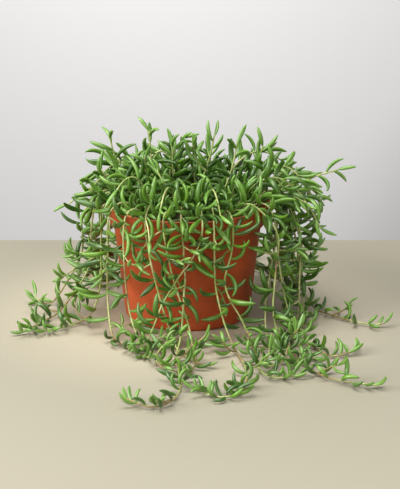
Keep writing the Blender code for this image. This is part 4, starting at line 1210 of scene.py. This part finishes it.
@dataclass
class LeafyStem:
    """One stem of the plant as a fine mesh: a round tube, its side shoots, and all their leaves."""

    growth: Growth
    leaf_shares: tuple[float, ...] = (0.0, 0.03, 0.08, 0.16, 0.27, 0.38, 0.50, 0.62, 0.73, 0.84, 0.92, 0.97)
    section: tuple[tuple[float, float], ...] = (
        (0, 0.42), (42, 0.66), (78, 0.90), (100, 1.0), (130, 0.98), (160, 0.92),
        (180, 0.90), (200, 0.92), (230, 0.98), (260, 1.0), (282, 0.90), (318, 0.66))
    stem_sides: int = 8
    knot_size: float = 0.13
    knot_turn: float = 2.1
    stem_fullness: float = 0.98
    root_chance: float = 0.10
    root_height: float = 0.030
    root_radius: float = 0.00017
    root_lengths: Span = (0.003, 0.009)
    points: list[Vector] = field(default_factory=list)
    faces: list[tuple[int, ...]] = field(default_factory=list)
    kinds: list[int] = field(default_factory=list)
    data: list[tuple[float, float, float, float]] = field(default_factory=list)

    def ring_faces(self, low: int, high: int, sides: int, kind: Part) -> None:
        """Adds the faces between two rings of points."""
        for k in range(sides):
            after = (k + 1) % sides
            self.faces.append((low + k, low + after, high + after, high + k))
            self.kinds.append(kind.value)

    def close(self, ring: int, point: int, sides: int, kind: Part, tip: bool) -> None:
        """Closes a ring to a point, at the tip or at the root."""
        for k in range(sides):
            after = (k + 1) % sides
            self.faces.append((ring + k, ring + after, point) if tip else (ring + after, ring + k, point))
            self.kinds.append(kind.value)

    def add_leaf(self, leaf: Leaf, chance: float) -> None:
        """Adds one leaf: plump outside, with a shallow groove along the hollow side, and a drawn-out tip."""
        side = leaf.heading.cross(leaf.lift)
        sides = len(self.section)
        rings = []
        for share in self.leaf_shares:
            middle, inner = leaf.at(share), leaf.inward(share)
            wide = LEAVES.radius(share, leaf.length)
            shaped = min(1.0, share / 0.16)
            rings.append(len(self.points))
            for degrees, reach in self.section:
                angle = math.radians(degrees)
                out = wide * (1 + (reach - 1) * shaped)
                self.points.append(middle + inner * (out * math.cos(angle)) - side * (out * math.sin(angle)))
                self.data.append((share, degrees / 360, chance, leaf.age))
        for low, high in zip(rings, rings[1:]):
            self.ring_faces(low, high, sides, Part.LEAF)
        for place, ring, tip in ((leaf.root, rings[0], False), (leaf.at(1.0), rings[-1], True)):
            self.close(ring, len(self.points), sides, Part.LEAF, tip)
            self.points.append(place.copy())
            self.data.append((1.0 if tip else 0.0, 0.25, chance, leaf.age))

    def add_tube(self, route: np.ndarray, thick: float, thin: float, chance: float, start: float) -> None:
        """Adds a stem along a route.

        Args:
            route: Points along its middle line.
            thick: Its radius at the root.
            thin: Its radius at the tip.
            chance: A number from 0 to 1 that varies its colour.
            start: The share along the parent stem at its root, 0 on a stem from the soil.
        """
        line = self.finer(route)
        last = len(line) - 1

        def radius(share: float) -> float:
            """The stem's radius, with its knots and its blunt tip."""
            knots = 1.0 + self.knot_size * math.sin(share * last * self.knot_turn + chance * 9.0)
            return (thick + (thin - thick) * share) * knots * (0.6 if share == 1.0 else 1.0)

        self.add_line(line, radius, self.stem_sides,
                      lambda share: (start + (1 - start) * share, 0.0, chance, share))

    def add_line(self, line: list[Vector], radius: Callable[[float], float], sides: int,
                 data: Callable[[float], tuple[float, float, float, float]]) -> None:
        """Adds a round tube along a line.

        Args:
            line: Points along its middle.
            radius: Its radius at a share of the way along.
            sides: The number of steps round it.
            data: What its points tell the finish at a share of the way along.
        """
        side = Vector((1.0, 0.0, 0.0))
        rings = []
        for k, point in enumerate(line):
            along = (line[min(k + 1, len(line) - 1)] - line[max(k - 1, 0)]).normalized()
            side = (side - along * side.dot(along)).normalized()
            other = along.cross(side)
            share = k / (len(line) - 1)
            reach = radius(share)
            rings.append(len(self.points))
            for j in range(sides):
                angle = 2 * math.pi * j / sides
                self.points.append(point + (side * math.cos(angle) + other * math.sin(angle)) * reach)
                self.data.append(data(share))
        for low, high in zip(rings, rings[1:]):
            self.ring_faces(low, high, sides, Part.STEM)
        for place, ring, tip in ((line[0], rings[0], False), (line[-1], rings[-1], True)):
            self.close(ring, len(self.points), sides, Part.STEM, tip)
            self.points.append(place + (line[-1] - line[-2]).normalized() * reach if tip else place)
            self.data.append(data(float(tip)))

    def add_roots(self, draw: random.Random) -> None:
        """Adds tufts of fine dry roots here and there where the stem lies on the surface or hangs close to it."""
        for point in self.growth.route:
            beside_pot = math.hypot(point[0], point[1]) - POT.outer_radius(point[2]) < max(self.root_lengths)
            if point[2] > self.root_height or beside_pot or draw.random() > self.root_chance:
                continue
            for _ in range(draw.randint(2, 5)):
                way = Vector((draw.uniform(-1, 1), draw.uniform(-1, 1), draw.uniform(-0.9, 0.2))).normalized()
                bend = Vector((draw.uniform(-1, 1), draw.uniform(-1, 1), draw.uniform(-0.6, 0.2)))
                length = draw.uniform(*self.root_lengths)
                line = [Vector(point) + way * (length * k / 4) + bend * (length * (k / 4) ** 2 * 0.5)
                        for k in range(5)]
                for place in line:
                    place.z = max(place.z, 2 * self.root_radius)
                self.add_line(line, lambda share: self.root_radius * (1.1 - 0.6 * share), 3,
                              lambda share: (0.0, 0.0, 1.0, 0.0))

    @staticmethod
    def finer(route: np.ndarray) -> list[Vector]:
        """The route with a point added on the curve between each two."""
        points = [Vector(row) for row in route]
        line = [points[0]]
        for k in range(len(points) - 1):
            before, after = points[max(k - 1, 0)], points[min(k + 2, len(points) - 1)]
            middle = (points[k] + points[k + 1]) * 0.5625 - (before + after) * 0.0625
            line += [middle, points[k + 1]]
        return line

    def build(self, name: str, node: str, stem_skin: bpy.types.Material, leaf_skin: bpy.types.Material,
              draw: random.Random) -> None:
        """Makes the piece and puts it in place of its solid.

        Args:
            name: The piece's name.
            node: The solid that it stands for.
            stem_skin: The stem's finish.
            leaf_skin: The leaves' finish.
            draw: Draws the colour of each leaf.
        """
        chance = draw.random()
        self.add_tube(self.growth.route, STEMS.radius * self.stem_fullness, STEMS.tip_radius, chance, 0.0)
        for leaf in self.growth.leaves:
            self.add_leaf(leaf, draw.random())
        for shoot in self.growth.shoots:
            self.add_tube(shoot.route, STEMS.tip_radius, STEMS.tip_radius * 0.8, chance, 0.6)
            for leaf in shoot.leaves:
                self.add_leaf(leaf, draw.random())
        self.add_roots(draw)
        mesh = bpy.data.meshes.new(name)
        mesh.from_pydata([tuple(point) for point in self.points], [], self.faces)
        colours = mesh.attributes.new("leaf_data", "FLOAT_COLOR", "POINT")
        colours.data.foreach_set("color", np.array(self.data, np.float32).ravel())
        mesh.update()
        piece = new_piece(name, mesh, [stem_skin, leaf_skin])
        mesh.polygons.foreach_set("material_index", self.kinds)
        settle(piece, "foliage", node)


@dataclass
class Foliage:
    """All leafy stems of the plant."""

    stem_finish: StemSkin = StemSkin()
    leaf_finish: LeafSkin = LeafSkin()
    seed: int = 11

    def build(self) -> None:
        """Grows the plant and makes one piece for each stem of the solids."""
        stem_skin, leaf_skin = self.stem_finish.material(), self.leaf_finish.material()
        draw = random.Random(self.seed)
        growths = Plant().grow()
        total = sum(len(g.leaves) + sum(len(s.leaves) for s in g.shoots) for g in growths)
        LOG.info("the plant has %d stems, %d side shoots and %d leaves", len(growths),
                 sum(len(g.shoots) for g in growths), total)
        for number, growth in enumerate(growths):
            trails = number < len(TRAILING)
            place = number + 1 if trails else number + 1 - len(TRAILING)
            kind = "trailing" if trails else "upright"
            LeafyStem(growth).build(f"leafy_{kind}_{place:02d}", f"{kind}_stem_{place:02d}",
                                    stem_skin, leaf_skin, draw)


@dataclass
class Studio:
    """The pale table and wall, the soft lights and the camera of the reference view."""

    # Table: painted shade towards the back and right, and a painted pool of bounced light round the plant. Wall:
    # painted shade towards the lower right
    table_paint: StagePaint = StagePaint("table_with_painted_shade", (0.366, 0.340, 0.266), 0.62, 0.82,
                                         (0.55, 0.83, 0.0), (-0.50, 0.235), (0.495, 0.440, 0.340))
    wall_paint: StagePaint = StagePaint("wall_with_painted_shade", (0.618, 0.611, 0.609), 0.9, 0.76,
                                        (0.83, 0.0, -0.55), (0.95, 1.45))
    table_back: float = 0.235
    wall_back: float = 4.6
    distance: float = 1.750
    elevation: float = math.radians(16.8)
    target: Place = (0.0117, 0.0, 0.066)
    sensor: float = 36.0
    focal_pixels: float = 1870.0
    picture_width: int = 400

    def plane(self, name: str, corners: list[Place], paint: StagePaint) -> None:
        """Adds a flat piece of the stage from its corners."""
        mesh = bpy.data.meshes.new(name)
        mesh.from_pydata(corners, [], [tuple(range(len(corners)))])
        piece = new_piece(name, mesh, [paint.material()])

    def light(self, name: str, place: Place, aim: Place, size: float, power: float, colour: Colour) -> None:
        """Adds a soft square light.

        Args:
            name: Its name.
            place: Where it stands.
            aim: What it points at.
            size: The length of its sides.
            power: Its power in watts.
            colour: Its colour.
        """
        lamp = bpy.data.lights.new(name, "AREA")
        lamp.size = size
        lamp.energy = power
        lamp.color = colour
        thing = bpy.data.objects.new(name, lamp)
        bpy.context.scene.collection.objects.link(thing)
        thing.location = place
        thing.rotation_euler = (Vector(place) - Vector(aim)).to_track_quat("Z", "Y").to_euler()

    def camera(self) -> None:
        """Adds the camera at the reference view."""
        lens = bpy.data.cameras.new("reference_camera")
        lens.sensor_fit = "HORIZONTAL"
        lens.sensor_width = self.sensor
        lens.lens = self.focal_pixels / self.picture_width * self.sensor
        lens.clip_start = 0.05
        lens.clip_end = 20.0
        thing = bpy.data.objects.new("reference_camera", lens)
        bpy.context.scene.collection.objects.link(thing)
        back = self.distance * math.cos(self.elevation)
        rise = self.distance * math.sin(self.elevation)
        thing.location = (self.target[0], self.target[1] - back, self.target[2] + rise)
        thing.rotation_euler = (math.pi / 2 - self.elevation, 0.0, 0.0)
        bpy.context.scene.camera = thing

    def build(self) -> None:
        """Sets up the stage, the lights, the camera and a plain white surround."""
        self.plane("table", [(-4.0, -4.0, 0.0), (4.0, -4.0, 0.0), (4.0, self.table_back, 0.0),
                             (-4.0, self.table_back, 0.0)], self.table_paint)
        wall = self.wall_back
        self.plane("wall", [(-6.0, wall, -4.0), (6.0, wall, -4.0), (6.0, wall, 4.0), (-6.0, wall, 4.0)],
                   self.wall_paint)
        self.light("key_light", (-2.55, -1.25, 1.65), (0.0, 0.0, 0.06), 1.90, 90.0, (1.0, 0.99, 0.96))
        self.light("top_light", (-0.30, -0.60, 3.10), (0.0, 0.0, 0.06), 2.40, 91.0, (1.0, 0.99, 0.97))
        self.light("fill_light", (0.60, -2.60, 0.95), (0.0, 0.0, 0.06), 1.60, 14.0, (1.0, 0.99, 0.97))
        self.light("wall_light", (-0.20, 2.90, 0.5), (-0.10, wall, -0.95), 0.6, 27.0, (1.0, 0.99, 0.98))
        world = bpy.data.worlds.new("soft_surround")
        world.use_nodes = True
        world.node_tree.nodes["Background"].inputs[0].default_value = (0.98, 0.985, 1.0, 1.0)
        world.node_tree.nodes["Background"].inputs[1].default_value = 0.35
        bpy.context.scene.world = world
        bpy.context.scene.view_settings.view_transform = "Standard"
        bpy.context.scene.view_settings.look = "Medium High Contrast"
        self.camera()


def main() -> None:
    """Builds the studio, the pot, the soil and the plant."""
    logging.basicConfig(level=logging.INFO, format="%(message)s")
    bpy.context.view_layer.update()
    Studio().build()
    NurseryPot().build()
    SoilBed().build()
    Foliage().build()


if __name__ == "__main__":
    main()
